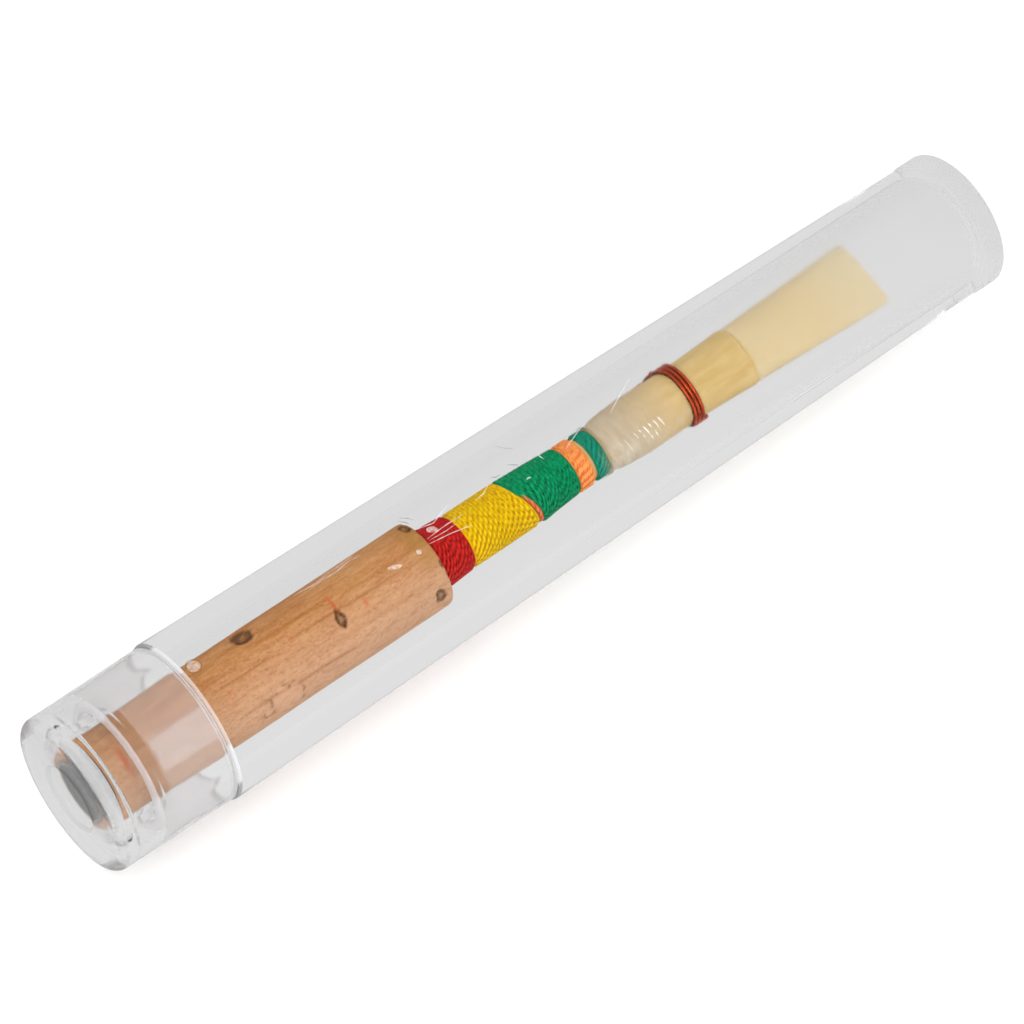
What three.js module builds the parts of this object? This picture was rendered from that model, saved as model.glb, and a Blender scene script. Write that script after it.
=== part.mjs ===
// An oboe reed in its clear push-on case. Millimetres, +Z up. Everything lies along X: the cap's
// end face looks to -X and the tube's closed end to +X. Stations are measured along X from the
// cap's end face, and the group at the end centres them and lifts the case onto its lowest facet.
import * as THREE from "three";

// The staple, a metal tube that tapers from a round end to an oval top
const staple_length = 46.9;
const staple_end_radius = 2.7;
const staple_top_half_width = 1.45;
const staple_top_half_height = 1.15;
const staple_wall = 0.25;

// The cork round the staple, up to the first winding
const cork_radius = 3.56;
const cork_end_radius = 3.3;
const cork_taper_length = 9.5;
const cork_setback = 0.2;
const cork_chamfer = 0.45;
const cork_end_chamfer = 0.15;
const glue_line = 0.03;

// The windings, counted back from the staple's top to the cork
const thread_pitch = 0.3;
const thread_rib = 0.09;
const band_gap = 0.04;
const film_gap_between_bands = 0.3;
const coral_width = 0.42;
const red_width = 3.1;
const yellow_width = 5.5;
const green_width = 4.4;
const orange_width = 1.4;
const teal_width = 1.2;
const red_build = [0.66, 0.55];
const yellow_build = [0.52, 0.65];
const coral_build = [0.6, 0.6];
const green_build = [0.54, 0.28];
const orange_build = [0.28, 0.28];
const teal_build = [0.24, 0.2];

// Where the green thread crosses over from the yellow, its first turns lie askew round the staple
const crossing_shift = 0.75;
const crossing_reach = 1.6;
const crossing_side = 197;

// The two blades of cane, from their thinned tails under the windings to the tip
const blade_length = 27.4;
const blade_half_width = 3.05;
const blade_half_height = 1.75;
const cane_wall = 0.46;
const bark = 0.1;
const tail_wall_start = 0.12;
const tail_wall_end = 0.28;
const tail_inset = 1;
const blade_seam = 0.04;
const bark_line_share = 0.532;
const bark_line_bow = 0.25;
const bark_step_length = 0.3;
const edge_wall_share = 1.1;
const loft_step = 1.4;

// Shares along the blade: [station, half width, half height, wall] without the bark
const blade_shares = [
  [0.04, 0.666, 0.87, 0.62],
  [0.094, 0.721, 0.948, 0.83],
  [0.148, 0.748, 0.994, 0.96],
  [0.31, 0.754, 1, 1],
  [0.436, 0.793, 0.96, 1],
  [0.56, 0.855, 0.86, 0.9],
  [0.753, 0.931, 0.606, 0.74],
  [0.908, 0.993, 0.354, 0.43],
  [0.985, 1, 0.24, 0.28],
  [1, 0.935, 0.223, 0.26],
];

// The clear film over the last windings and the foot of the cane, up to the wire
const film_wall = 0.06;
const film_clearance = 0.04;
const film_start_past_green = 0.1;
const film_to_wire = 0.15;

// The copper wire, three turns with its ends twisted together
const wire_diameter = 0.33;
const wire_turns = 3;
const wire_turn_gap = 0.42;
const wire_clearance = 0.05;
const wire_station_share = 0.309;
const twist_length = 1.5;
const twist_turns = 1.5;
const twist_wall_share = 0.9;
const twist_place = -14;

// The reed's roll in its socket and the way it leans there, tip towards +Y, in degrees
const reed_roll = 13;
const reed_lean = 0.3;

// The clear cap, with a socket ring inside that holds the cork
const cap_length = 10.25;
const cap_end_wall = 2;
const cap_skirt_wall = 0.9;
const cap_draft = 0.08;
const cap_corner_radius = 0.7;
const cap_rim_round = 0.12;
const recess_radius = 2.8;
const recess_depth = 0.3;
const recess_bevel = 0.15;
const socket_depth = 3.3;
const socket_wall = 0.9;
const socket_lead_in = 0.3;
const socket_clearance = 0.07;
const seat_gap = 0.1;

// The clear tube, with a neck and one retaining bead
const tip_room = 8.08;
const tube_draft = 0.96;
const tube_proud = 0.15;
const shoulder_gap = 0.08;
const shoulder_round = 0.2;
const neck_length = 6.3;
const neck_wall = 0.9;
const neck_lip_round = 0.25;
const neck_to_socket = 0.2;
const bead_height = 0.08;
const bead_width = 0.9;
const bead_setback = 0.45;
const bead_clearance = 0.02;
const bore_draft = 0.25;
const tube_end_wall = 1.15;
const bore_end_fillet = 1.2;
const foot_width = 1.8;
const foot_proud = 0.12;
const foot_corner = 0.25;

// Facets round the case and round the reed, and steps on a small round
const case_facets = 32;
const reed_facets = 24;
const round_steps = 4;
const weld = 1e-4;

const clear_plastic = new THREE.MeshStandardMaterial({
  color: 0xeef1f2,
  roughness: 0.08,
  transparent: true,
  opacity: 0.35,
});
const nickel = new THREE.MeshStandardMaterial({ color: 0x9a968c, roughness: 0.35, metalness: 1 });
const cork = new THREE.MeshStandardMaterial({ color: 0xd29a6a, roughness: 0.85 });
const cane = new THREE.MeshStandardMaterial({ color: 0xdcc488, roughness: 0.5 });
const copper = new THREE.MeshStandardMaterial({ color: 0x9c3d22, roughness: 0.3, metalness: 1 });
const clear_film = new THREE.MeshStandardMaterial({
  color: 0xf2efe6,
  roughness: 0.15,
  transparent: true,
  opacity: 0.3,
});
const threadColour = (color) => new THREE.MeshStandardMaterial({ color, roughness: 0.7 });

// A quarter round from one angle to another, as [station, radius] pairs
function arc(station, radius, size, from, to) {
  return Array.from({ length: round_steps + 1 }, (_, i) => {
    const angle = from + ((to - from) * i) / round_steps;
    return [station + size * Math.cos(angle), radius + size * Math.sin(angle)];
  });
}

// Turns an outline of [station, radius] pairs round X, with a flat facet underneath
function revolve(outline, closed = false) {
  const points = outline.map(([station, radius]) => new THREE.Vector2(radius, station));
  if (closed) points.push(points[0].clone());
  const geometry = new THREE.LatheGeometry(points, case_facets, Math.PI / case_facets);
  return geometry.rotateZ(-Math.PI / 2);
}

// A closed surface from triangles of points, with shared corners welded and empty faces left out
function weldedSurface(triangles) {
  const position = [];
  const index = [];
  const seen = new Map();
  const corner = (p) => {
    const key = p.map((v) => Math.round(v / weld)).join();
    if (!seen.has(key)) {
      seen.set(key, position.length / p.length);
      position.push(...p);
    }
    return seen.get(key);
  };
  for (const triangle of triangles) {
    const [a, b, c] = triangle.map(corner);
    if (a !== b && b !== c && c !== a) index.push(a, b, c);
  }
  const geometry = new THREE.BufferGeometry();
  geometry.setAttribute("position", new THREE.Float32BufferAttribute(position, 3));
  geometry.setIndex(index);
  geometry.computeVertexNormals();
  return geometry;
}

const quad = (a, b, c, d) => [
  [a, b, c],
  [a, c, d],
];

// Skins closed rings of points, each with as many points as the next
function skin(rings, triangles) {
  for (let k = 1; k < rings.length; k++) {
    const [near, far] = [rings[k - 1], rings[k]];
    near.forEach((p, i) => {
      const j = (i + 1) % near.length;
      triangles.push(...quad(p, near[j], far[j], far[i]));
    });
  }
}

// A ring of points on an oval section at a station
function ovalRing(station, half_width, half_height) {
  return Array.from({ length: reed_facets }, (_, i) => {
    const angle = (i / reed_facets) * 2 * Math.PI;
    return [station, half_width * Math.cos(angle), half_height * Math.sin(angle)];
  });
}

// A sleeve between an inner and an outer oval, both functions of the station
function ovalSleeve(stations, inner, outer) {
  const rings = (at) => stations.map((x) => ovalRing(x, ...at(x)));
  const outside = rings(outer);
  const inside = rings(inner).reverse();
  const triangles = [];
  skin([...outside, ...inside, outside[0]], triangles);
  return weldedSurface(triangles);
}

// Stations from start to end, on one shared grid between them, so that nested surfaces match
function stationsBetween(start, end) {
  const grid = [start];
  for (let x = Math.ceil(start / loft_step) * loft_step; x < end; x += loft_step) {
    if (x - start > loft_step / 4 && end - x > loft_step / 4) grid.push(x);
  }
  return [...grid, end];
}

const mix = (a, b, share) => a + (b - a) * share;
const clampShare = (share) => Math.min(1, Math.max(0, share));

// Stations of the reed, from the seat in the cap to the tip
const reed_start = cap_end_wall + seat_gap;
const staple_top = reed_start + staple_length;
const tip = staple_top + blade_length;
const bark_line = mix(staple_top, tip, bark_line_share);
const teal_start = staple_top - teal_width;
const orange_start = teal_start - film_gap_between_bands - orange_width;
const green_start = orange_start - band_gap - green_width;
const coral_start = green_start - band_gap - coral_width;
const yellow_start = coral_start - band_gap - yellow_width;
const red_start = yellow_start - band_gap - red_width;
const cork_start = reed_start + cork_setback;
const cork_end = red_start - band_gap;
const wire_middle = mix(staple_top, tip, wire_station_share);
const wire_pitch = wire_diameter + wire_turn_gap;
const wire_start = wire_middle - (wire_turns * wire_pitch + wire_diameter) / 2;
const film_start = orange_start + film_start_past_green;
const film_end = wire_start - film_to_wire;
const tail_start = green_start + tail_inset;

// The staple's outer oval and its bore
function stapleOval(station, inset = 0) {
  const share = clampShare((station - reed_start) / staple_length);
  return [
    mix(staple_end_radius, staple_top_half_width, share) - inset,
    mix(staple_end_radius, staple_top_half_height, share) - inset,
  ];
}
const grown = ([half_width, half_height], by) => [half_width + by, half_height + by];

// A smooth curve through the blade's table, by its column
function bladeShare(share, column) {
  const first = [0, ...tieRow()];
  const rows = [first, ...blade_shares];
  const k = Math.max(
    1,
    rows.findIndex(([at]) => at >= share - weld),
  );
  const slope = (i) => {
    const [before, after] = [rows[Math.max(0, i - 1)], rows[Math.min(rows.length - 1, i + 1)]];
    return (after[column] - before[column]) / (after[0] - before[0]);
  };
  const [low, high] = [rows[k - 1], rows[k]];
  const span = high[0] - low[0];
  const t = clampShare((share - low[0]) / span);
  return (
    (1 + 2 * t) * (1 - t) ** 2 * low[column] +
    t * (1 - t) ** 2 * span * slope(k - 1) +
    t * t * (3 - 2 * t) * high[column] +
    t * t * (t - 1) * span * slope(k)
  );
}

// The blade's shares where it leaves the staple's top, worked out from the staple
function tieRow() {
  const wall = tail_wall_end - bark;
  const [half_width, half_height] = grown(stapleOval(staple_top), glue_line + wall);
  return [half_width / blade_half_width, half_height / blade_half_height, wall / cane_wall];
}

// The cane's outer and inner ovals at a station, with its bark up to the bark line
function caneOvals(station, with_bark = station < bark_line) {
  if (station <= staple_top) {
    const seat = grown(stapleOval(station), glue_line);
    const share = clampShare((station - tail_start) / (staple_top - tail_start));
    return { inner: seat, outer: grown(seat, mix(tail_wall_start, tail_wall_end, share)) };
  }
  const share = (station - staple_top) / blade_length;
  const wall = bladeShare(share, 3) * cane_wall;
  const scraped = [bladeShare(share, 1) * blade_half_width, bladeShare(share, 2) * blade_half_height];
  return {
    inner: [scraped[0] - wall * edge_wall_share, scraped[1] - wall],
    outer: grown(scraped, with_bark ? bark : 0),
  };
}

// One blade: half an oval outside and half an oval inside, closed along the two side edges
function blade() {
  const half = reed_facets / 2;
  const section = (station, with_bark, bow) => {
    const { inner, outer } = caneOvals(station, with_bark);
    const half_arc = ([half_width, half_height]) =>
      Array.from({ length: half + 1 }, (_, i) => {
        const angle = (i / half) * Math.PI;
        return [
          station - bow * Math.cos(angle) ** 2,
          half_width * Math.cos(angle),
          blade_seam / 2 + half_height * Math.sin(angle),
        ];
      });
    return [...half_arc(outer), ...half_arc(inner).reverse()];
  };
  const step_start = bark_line - bark_step_length;
  const sections = [
    ...stationsBetween(tail_start, staple_top).map((x) => section(x, true, 0)),
    ...stationsBetween(staple_top, step_start - bark_line_bow).slice(1).map((x) => section(x, true, 0)),
    section(step_start, true, bark_line_bow),
    section(bark_line, false, bark_line_bow),
    ...stationsBetween(bark_line + bark_line_bow, tip - bark_step_length).map((x) => section(x, false, 0)),
    section(tip, false, 0),
  ];
  const triangles = [];
  skin(sections, triangles);
  const cap = (ring, flip) => {
    for (let i = 0; i < half; i++) {
      const [a, b] = [ring[i], ring[i + 1]];
      const [c, d] = [ring[ring.length - 2 - i], ring[ring.length - 1 - i]];
      triangles.push(...(flip ? quad(a, d, c, b) : quad(a, b, c, d)));
    }
  };
  cap(sections[0], true);
  cap(sections[sections.length - 1], false);
  return weldedSurface(triangles);
}

// A winding: its outside is one helical rib over a plain core, its inside follows what it is wound on
function winding(start, width, seat, build) {
  const end = start + width;
  const crossing = (coral_start + green_start) / 2;
  const askew = ([x, y, z]) => {
    const side = Math.cos(Math.atan2(z, y) - THREE.MathUtils.degToRad(crossing_side));
    return [x + crossing_shift * side * Math.exp(-(((x - crossing) / crossing_reach) ** 2)), y, z];
  };
  const turns = Math.max(1, Math.round(width / thread_pitch));
  const pitch = width / turns;
  const surface = (x, angle, rib) => {
    const [half_width, half_height] = grown(seat(x), mix(...build, (x - start) / width) - thread_rib + rib);
    return [x, half_width * Math.cos(angle), half_height * Math.sin(angle)];
  };
  // rows alternate between groove and crest and climb one pitch in a turn
  const point = (column, row) => {
    if (column === reed_facets) return point(0, row + 2);
    const share = column / reed_facets;
    const x = start + pitch * (row / 2 + share);
    const inside = x > start + weld && x < end - weld;
    const at = Math.min(end, Math.max(start, x));
    return surface(at, share * 2 * Math.PI, inside && row % 2 ? thread_rib : 0);
  };
  const triangles = [];
  for (let row = -2; row <= 2 * turns; row++) {
    for (let column = 0; column < reed_facets; column++) {
      const [a, b] = [point(column, row), point(column + 1, row)];
      const [c, d] = [point(column + 1, row + 1), point(column, row + 1)];
      triangles.push(...quad(a, b, c, d));
    }
  }
  const groove = (x) => ovalRing(x, ...grown(seat(x), mix(...build, (x - start) / width) - thread_rib));
  const bore = stationsBetween(start, end).map((x) => ovalRing(x, ...seat(x))).reverse();
  skin([groove(end), ...bore, groove(start)], triangles);
  return weldedSurface(triangles.map((triangle) => triangle.map(askew)));
}

// The wire's path: an oval helix on the cane, with a straight run of one diameter at each end
function wirePath() {
  const steps_a_turn = reed_facets;
  const seat = caneOvals(wire_middle).outer;
  const [half_width, half_height] = grown(seat, wire_clearance + wire_diameter / 2);
  const total = wire_turns * steps_a_turn;
  const points = Array.from({ length: total + 1 }, (_, i) => {
    const angle = (i / steps_a_turn) * 2 * Math.PI;
    const x = wire_start + wire_diameter / 2 + (i / steps_a_turn) * wire_pitch;
    return new THREE.Vector3(x, half_width * Math.cos(angle), half_height * Math.sin(angle));
  });
  const runOut = (end, before) => end.clone().add(end.clone().sub(before).setLength(wire_diameter));
  return [runOut(points[0], points[1]), ...points, runOut(points[total], points[total - 1])];
}

// The least gap between turns of the wire, measured on its points
function leastWireGap(points) {
  let least = Infinity;
  points.forEach((p, i) => {
    for (let j = i + reed_facets / 2; j < points.length; j++) {
      least = Math.min(least, p.distanceTo(points[j]) - wire_diameter);
    }
  });
  return least;
}

function wire() {
  const points = wirePath();
  console.log("least gap between turns of the wire:", leastWireGap(points).toFixed(3), "mm");
  const section = new THREE.Shape();
  section.absarc(0, 0, wire_diameter / 2, 0, 2 * Math.PI);
  return new THREE.ExtrudeGeometry(section, {
    steps: points.length - 1,
    curveSegments: 6,
    bevelEnabled: false,
    extrudePath: new THREE.CatmullRomCurve3(points),
  });
}

// The wire's two ends, twisted together: a two-lobed section that turns along X beside the wire,
// laid a little under the cane's edge
function wireTwist() {
  const around = reed_facets / 2;
  const steps = round_steps * 4;
  const [lobe, waist] = [wire_diameter, (wire_diameter / 2) * twist_wall_share];
  const end = wire_start - wire_clearance;
  const beside = caneOvals(end - twist_length / 2).outer[0] + film_clearance + film_wall;
  const side = beside + wire_clearance + lobe;
  const lay = THREE.MathUtils.degToRad(twist_place);
  const placed = (k, out, up) => [
    end - twist_length + (twist_length * k) / steps,
    out * Math.cos(lay) - up * Math.sin(lay),
    out * Math.sin(lay) + up * Math.cos(lay),
  ];
  const ring = (k) => {
    const turned = (k / steps) * twist_turns * 2 * Math.PI;
    return Array.from({ length: around }, (_, i) => {
      const angle = (i / around) * 2 * Math.PI;
      const [across, up] = [lobe * Math.cos(angle), waist * Math.sin(angle)];
      const out = side + across * Math.cos(turned) - up * Math.sin(turned);
      return placed(k, out, across * Math.sin(turned) + up * Math.cos(turned));
    });
  };
  const rings = Array.from({ length: steps + 1 }, (_, k) => ring(k));
  const triangles = [];
  skin(rings, triangles);
  const centre = (k) => placed(k, side, 0);
  rings[0].forEach((p, i) => {
    const j = (i + 1) % around;
    triangles.push([centre(0), rings[0][j], p]);
    triangles.push([centre(steps), rings[steps][i], rings[steps][j]]);
  });
  return weldedSurface(triangles);
}

// The cork's outside, tapered towards its end
const corkRadius = (station) =>
  mix(cork_end_radius, cork_radius, clampShare((station - cork_start) / cork_taper_length));

function corkSleeve() {
  const bore = (x) => stapleOval(x)[0] + glue_line;
  return revolve(
    [
      [cork_start, bore(cork_start)],
      [cork_start, cork_end_radius - cork_end_chamfer],
      [cork_start + cork_end_chamfer, corkRadius(cork_start + cork_end_chamfer)],
      [cork_start + cork_taper_length, cork_radius],
      [cork_end - cork_chamfer, cork_radius],
      [cork_end, cork_radius - cork_chamfer],
      [cork_end, bore(cork_end)],
    ],
    true,
  );
}

// Radii of the case, from the cork outwards: socket ring, tube's bore, neck, skirt, cap and tube
const socket_bore = corkRadius(cap_end_wall + socket_depth) + socket_clearance;
const socket_radius = socket_bore + socket_wall;
const bore_radius = socket_radius + neck_to_socket;
const neck_radius = bore_radius + neck_wall;
const bead_radius = neck_radius + bead_height;
const skirt_bore = bead_radius + bead_clearance;
const cap_radius = skirt_bore + cap_skirt_wall;
const cap_end_radius = cap_radius - cap_draft;
const tube_radius = cap_radius + tube_proud;
const tube_end_radius = tube_radius - tube_draft;
const shoulder = cap_length + shoulder_gap;
const tube_end = tip + tip_room + tube_end_wall;
const neck_mouth = shoulder - neck_length;

function caseCap() {
  const socket_rim = cap_end_wall + socket_depth;
  return revolve([
    [recess_depth, 0],
    [recess_depth, recess_radius - recess_bevel],
    [0, recess_radius],
    [0, cap_end_radius - cap_corner_radius],
    ...arc(cap_corner_radius, cap_end_radius - cap_corner_radius, cap_corner_radius, Math.PI, Math.PI / 2).slice(1),
    ...arc(cap_length - cap_rim_round, cap_radius - cap_rim_round, cap_rim_round, Math.PI / 2, 0),
    [cap_length, skirt_bore],
    [cap_end_wall, skirt_bore],
    [cap_end_wall, socket_radius],
    [socket_rim, socket_radius],
    [socket_rim, socket_bore + socket_lead_in],
    [socket_rim - socket_lead_in, socket_bore],
    [cap_end_wall, socket_bore],
    [cap_end_wall, 0],
  ]);
}

function caseTube() {
  const drafted = (x) => mix(tube_radius, tube_end_radius, (x - shoulder) / (tube_end - shoulder));
  const foot = tube_end_radius + foot_proud;
  const bore_end = tube_end - tube_end_wall;
  const bore_end_radius = bore_radius - bore_draft;
  const bead = neck_mouth + bead_setback;
  return revolve(
    [
      [tube_end, 0],
      ...arc(tube_end - foot_corner, foot - foot_corner, foot_corner, 0, Math.PI / 2),
      [tube_end - foot_width, foot],
      [tube_end - foot_width - foot_proud, drafted(tube_end - foot_width - foot_proud)],
      ...arc(shoulder + shoulder_round, tube_radius - shoulder_round, shoulder_round, Math.PI / 2, Math.PI),
      [shoulder, neck_radius],
      [bead + bead_width, neck_radius],
      [bead + bead_width * 0.75, bead_radius],
      [bead + bead_width / 4, bead_radius],
      [bead, neck_radius],
      ...arc(neck_mouth + neck_lip_round, neck_radius - neck_lip_round, neck_lip_round, Math.PI / 2, Math.PI),
      ...arc(neck_mouth + neck_lip_round, bore_radius + neck_lip_round, neck_lip_round, Math.PI, 1.5 * Math.PI),
      [bore_end - bore_end_fillet, bore_end_radius],
      ...arc(bore_end - bore_end_fillet, bore_end_radius - bore_end_fillet, bore_end_fillet, Math.PI / 2, 0).slice(1),
      [bore_end, 0],
    ].reverse(),
  );
}

function staple() {
  const stations = [reed_start, ...stationsBetween(reed_start + loft_step, staple_top)];
  return ovalSleeve(stations, (x) => stapleOval(x, staple_wall), (x) => stapleOval(x));
}

// The film follows whichever lies further out, the windings or the cane
function bindingFilm() {
  const inner = (x) => {
    const cane_oval = caneOvals(x).outer;
    const thread_build = x < teal_start ? orange_build[0] : teal_build[0];
    const wound = x < staple_top + band_gap ? thread_build + glue_line : 0;
    return grown(cane_oval, wound + film_clearance);
  };
  const stations = [
    film_start,
    teal_start - film_gap_between_bands,
    teal_start,
    staple_top,
    ...stationsBetween(staple_top + loft_step / 4, film_end),
  ];
  return ovalSleeve(stations, inner, (x) => grown(inner(x), film_wall));
}

const onStaple = (x) => grown(stapleOval(x), glue_line);
const onCane = (x) => grown(caneOvals(x).outer, glue_line);

const named = (name, geometry, material) => {
  const mesh = new THREE.Mesh(geometry, material);
  mesh.name = name;
  return mesh;
};

const reed = new THREE.Group();
reed.add(named("staple", staple(), nickel));
reed.add(named("cork_sleeve", corkSleeve(), cork));
reed.add(named("red_thread", winding(red_start, red_width, onStaple, red_build), threadColour(0xb3202a)));
reed.add(named("yellow_thread", winding(yellow_start, yellow_width, onStaple, yellow_build), threadColour(0xe0b713)));
reed.add(named("coral_thread", winding(coral_start, coral_width, onStaple, coral_build), threadColour(0xe07a4a)));
reed.add(named("green_thread", winding(green_start, green_width, onCane, green_build), threadColour(0x058a58)));
reed.add(named("orange_thread", winding(orange_start, orange_width, onCane, orange_build), threadColour(0xf0824a)));
reed.add(named("teal_thread", winding(teal_start, teal_width, onCane, teal_build), threadColour(0x0f8a72)));
reed.add(named("binding_film", bindingFilm(), clear_film));
reed.add(named("upper_blade", blade(), cane));
const lower_blade = named("lower_blade", blade(), cane);
lower_blade.rotation.x = Math.PI;
reed.add(lower_blade);
reed.add(named("binding_wire", wire(), copper));
reed.add(named("wire_twist", wireTwist(), copper));
const socket_middle = cap_end_wall + socket_depth / 2;
reed.children.forEach((piece) => (piece.position.x = -socket_middle));
reed.position.x = socket_middle;
reed.rotation.set(THREE.MathUtils.degToRad(reed_roll), 0, THREE.MathUtils.degToRad(reed_lean), "ZYX");

const group = new THREE.Group();
group.add(named("case_tube", caseTube(), clear_plastic));
group.add(named("case_cap", caseCap(), clear_plastic));
group.add(reed);
group.position.set(-tube_end / 2, 0, tube_radius * Math.cos(Math.PI / case_facets));

export default group;
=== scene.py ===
"""An oboe reed in its clear push-on case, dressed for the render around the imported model.

Everything lies along X, the cap towards -X. Sizes are in millimetres and stations are measured
along X from the cap's end face, until a point is placed in the scene, which is in metres.
"""

import math

import bmesh
import bpy
from mathutils import Euler, Matrix, Vector, noise


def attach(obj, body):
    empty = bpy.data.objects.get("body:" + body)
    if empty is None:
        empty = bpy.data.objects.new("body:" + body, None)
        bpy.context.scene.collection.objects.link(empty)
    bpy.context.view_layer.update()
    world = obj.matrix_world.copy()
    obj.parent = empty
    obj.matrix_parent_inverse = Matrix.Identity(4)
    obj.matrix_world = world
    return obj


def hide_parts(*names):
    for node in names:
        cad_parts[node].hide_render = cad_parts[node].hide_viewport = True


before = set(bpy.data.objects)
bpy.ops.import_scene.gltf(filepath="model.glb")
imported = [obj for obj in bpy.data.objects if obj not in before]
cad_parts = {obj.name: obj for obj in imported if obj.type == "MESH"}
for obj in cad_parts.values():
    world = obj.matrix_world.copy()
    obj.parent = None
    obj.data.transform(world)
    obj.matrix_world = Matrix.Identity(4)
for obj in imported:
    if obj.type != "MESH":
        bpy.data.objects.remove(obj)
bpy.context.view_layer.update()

MM = 0.001

# The case, as in the solids
CASE_LENGTH = 85.63
AXIS_HEIGHT = 6.57
ROUND_STEPS = 6
CASE_SEGMENTS = 160
CAP_LENGTH = 10.25
CAP_END_WALL = 2.0
CAP_RADIUS = 6.452
CAP_DRAFT = 0.08
CAP_CORNER = 0.7
CAP_RIM_ROUND = 0.12
CAP_FILLET = 0.2
RECESS_RADIUS = 2.8
RECESS_DEPTH = 0.3
RECESS_FILLET = 0.12
RECESS_SLOPE = 0.15
RECESS_EDGE = 0.06
RECESS_EDGE_DEPTH = 0.08
SOCKET_DEPTH = 3.3
SOCKET_BORE = 3.452
SOCKET_RADIUS = 4.352
SOCKET_ROUND = 0.15
SOCKET_LEAD_IN = 0.3
SKIRT_BORE = 5.552
SKIRT_LEAD_IN = 0.1
SHOULDER = 10.33
SHOULDER_ROUND = 0.2
TUBE_RADIUS = 6.602
TUBE_DRAFT = 0.96
NECK_MOUTH = 4.03
NECK_RADIUS = 5.452
NECK_LIP = 0.3
NECK_FILLET = 0.15
BEAD_HEIGHT = 0.08
BEAD_WIDTH = 0.9
BEAD_SETBACK = 0.45
BORE_RADIUS = 4.552
BORE_DRAFT = 0.25
TUBE_END_WALL = 1.15
BORE_FILLET = 1.2
FOOT_WIDTH = 1.8
FOOT_PROUD = 0.12
FOOT_CORNER = 0.25
FOOT_RUN_OUT = 0.4

# The reed, as in the solids
REED_ROLL = math.radians(13)
REED_LEAN = math.radians(0.3)
SOCKET_MIDDLE = 3.65
REED_START = 2.1
STAPLE_LENGTH = 46.9
STAPLE_END_RADIUS = 2.7
STAPLE_TOP = (1.45, 1.15)
STAPLE_WALL = 0.25
STAPLE_LIP = 0.04
OVAL_SEGMENTS = 96
CORK_START = 2.3
CORK_END = 32.48
CORK_RADIUS = 3.56
CORK_END_RADIUS = 3.3
CORK_TAPER = 9.5
CORK_BORE_GAP = 0.03
CORK_CHAMFER = 0.15
CORK_TOP_CHAMFER = 0.3
# Unevenness of the cork's surface: long waves, short ones, and what has crumbled off its edges
CORK_WAVE = 0.02
CORK_RIPPLE = 0.012
CORK_CRUMBLE = 0.12
CORK_CRUMBLE_REACH = 0.4
BLADE_LENGTH = 27.4
BLADE_HALF_WIDTH = 3.05
BLADE_HALF_HEIGHT = 1.75
CANE_WALL = 0.46
BARK = 0.1
BARK_LINE_SHARE = 0.532
BARK_LINE_BOW = 0.25
BARK_STEP = (0.22, 0.02)
CANE_GRAIN = 0.006
TIP_REACH = 6
TIP_GRAIN_SHARE = 0.4
TIP_ROUND = 0.5
TAIL_START = 42.66

# The photograph's camera, fitted to the case: focal length in pixels of the frame's width,
# azimuth and elevation round the object, and the axis point that it was fitted to, as seen from
# the camera in millimetres (right, down, away)
FRAME_PIXELS = 1024
FOCAL_PIXELS = 4686.9
SENSOR = 36.0
CAMERA_AZIMUTH = math.radians(-39.3)
CAMERA_ELEVATION = math.radians(53.3)
FITTED_STATION = 12.485
FITTED_POINT = (-21.956, 14.156, 339.24)


def mix(a, b, share):
    return a + (b - a) * share


def clamp(value, low=0.0, high=1.0):
    return max(low, min(high, value))


def smooth(edge_low, edge_high, value):
    t = clamp((value - edge_low) / (edge_high - edge_low))
    return t * t * (3 - 2 * t)


def case_point(station, radius, angle):
    """A point round the case's axis, at an angle from straight up towards +Y."""
    return Vector((
        (station - CASE_LENGTH / 2) * MM,
        radius * math.sin(angle) * MM,
        (AXIS_HEIGHT + radius * math.cos(angle)) * MM,
    ))


REED_TURN = (REED_ROLL, 0, REED_LEAN)
REED_ROTATION = Euler(REED_TURN).to_matrix().to_4x4()
REED_PLACE = Matrix.Translation(case_point(SOCKET_MIDDLE, 0, 0)) @ REED_ROTATION


def reed_point(station, across, up):
    """A point of the reed, which is rolled in its socket and leans there."""
    return REED_PLACE @ (Vector((station - SOCKET_MIDDLE, across, up)) * MM)


def angles_round(count):
    return [2 * math.pi * i / count for i in range(count)]


def new_object(name, mesh):
    piece = bpy.data.objects.new(name, mesh)
    bpy.context.scene.collection.objects.link(piece)
    return piece


def mesh_piece(name, points, faces, sharp_degrees=35, outwards=True):
    """A smooth-shaded piece from points and faces, with its faces pointing out."""
    mesh = bpy.data.meshes.new(name)
    mesh.from_pydata([tuple(p) for p in points], [], faces)
    if outwards:
        working = bmesh.new()
        working.from_mesh(mesh)
        bmesh.ops.recalc_face_normals(working, faces=working.faces)
        working.to_mesh(mesh)
        working.free()
    mesh.shade_smooth()
    mesh.set_sharp_from_angle(angle=math.radians(sharp_degrees))
    return new_object(name, mesh)


def skin(rings, closed_lengthways=False, closed_round=True):
    """Faces between rings of points, each as long as the next; one point stands for a pole."""
    points, starts = [], []
    for ring in rings:
        starts.append(len(points))
        points.extend(ring)
    faces = []
    count = len(rings) if closed_lengthways else len(rings) - 1
    for k in range(count):
        near, far = rings[k], rings[(k + 1) % len(rings)]
        a, b = starts[k], starts[(k + 1) % len(rings)]
        length = max(len(near), len(far))
        for i in range(length if closed_round else length - 1):
            j = (i + 1) % length
            if len(near) == 1:
                faces.append((a, b + j, b + i))
            elif len(far) == 1:
                faces.append((a + i, a + j, b))
            else:
                faces.append((a + i, a + j, b + j, b + i))
    return points, faces


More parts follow.
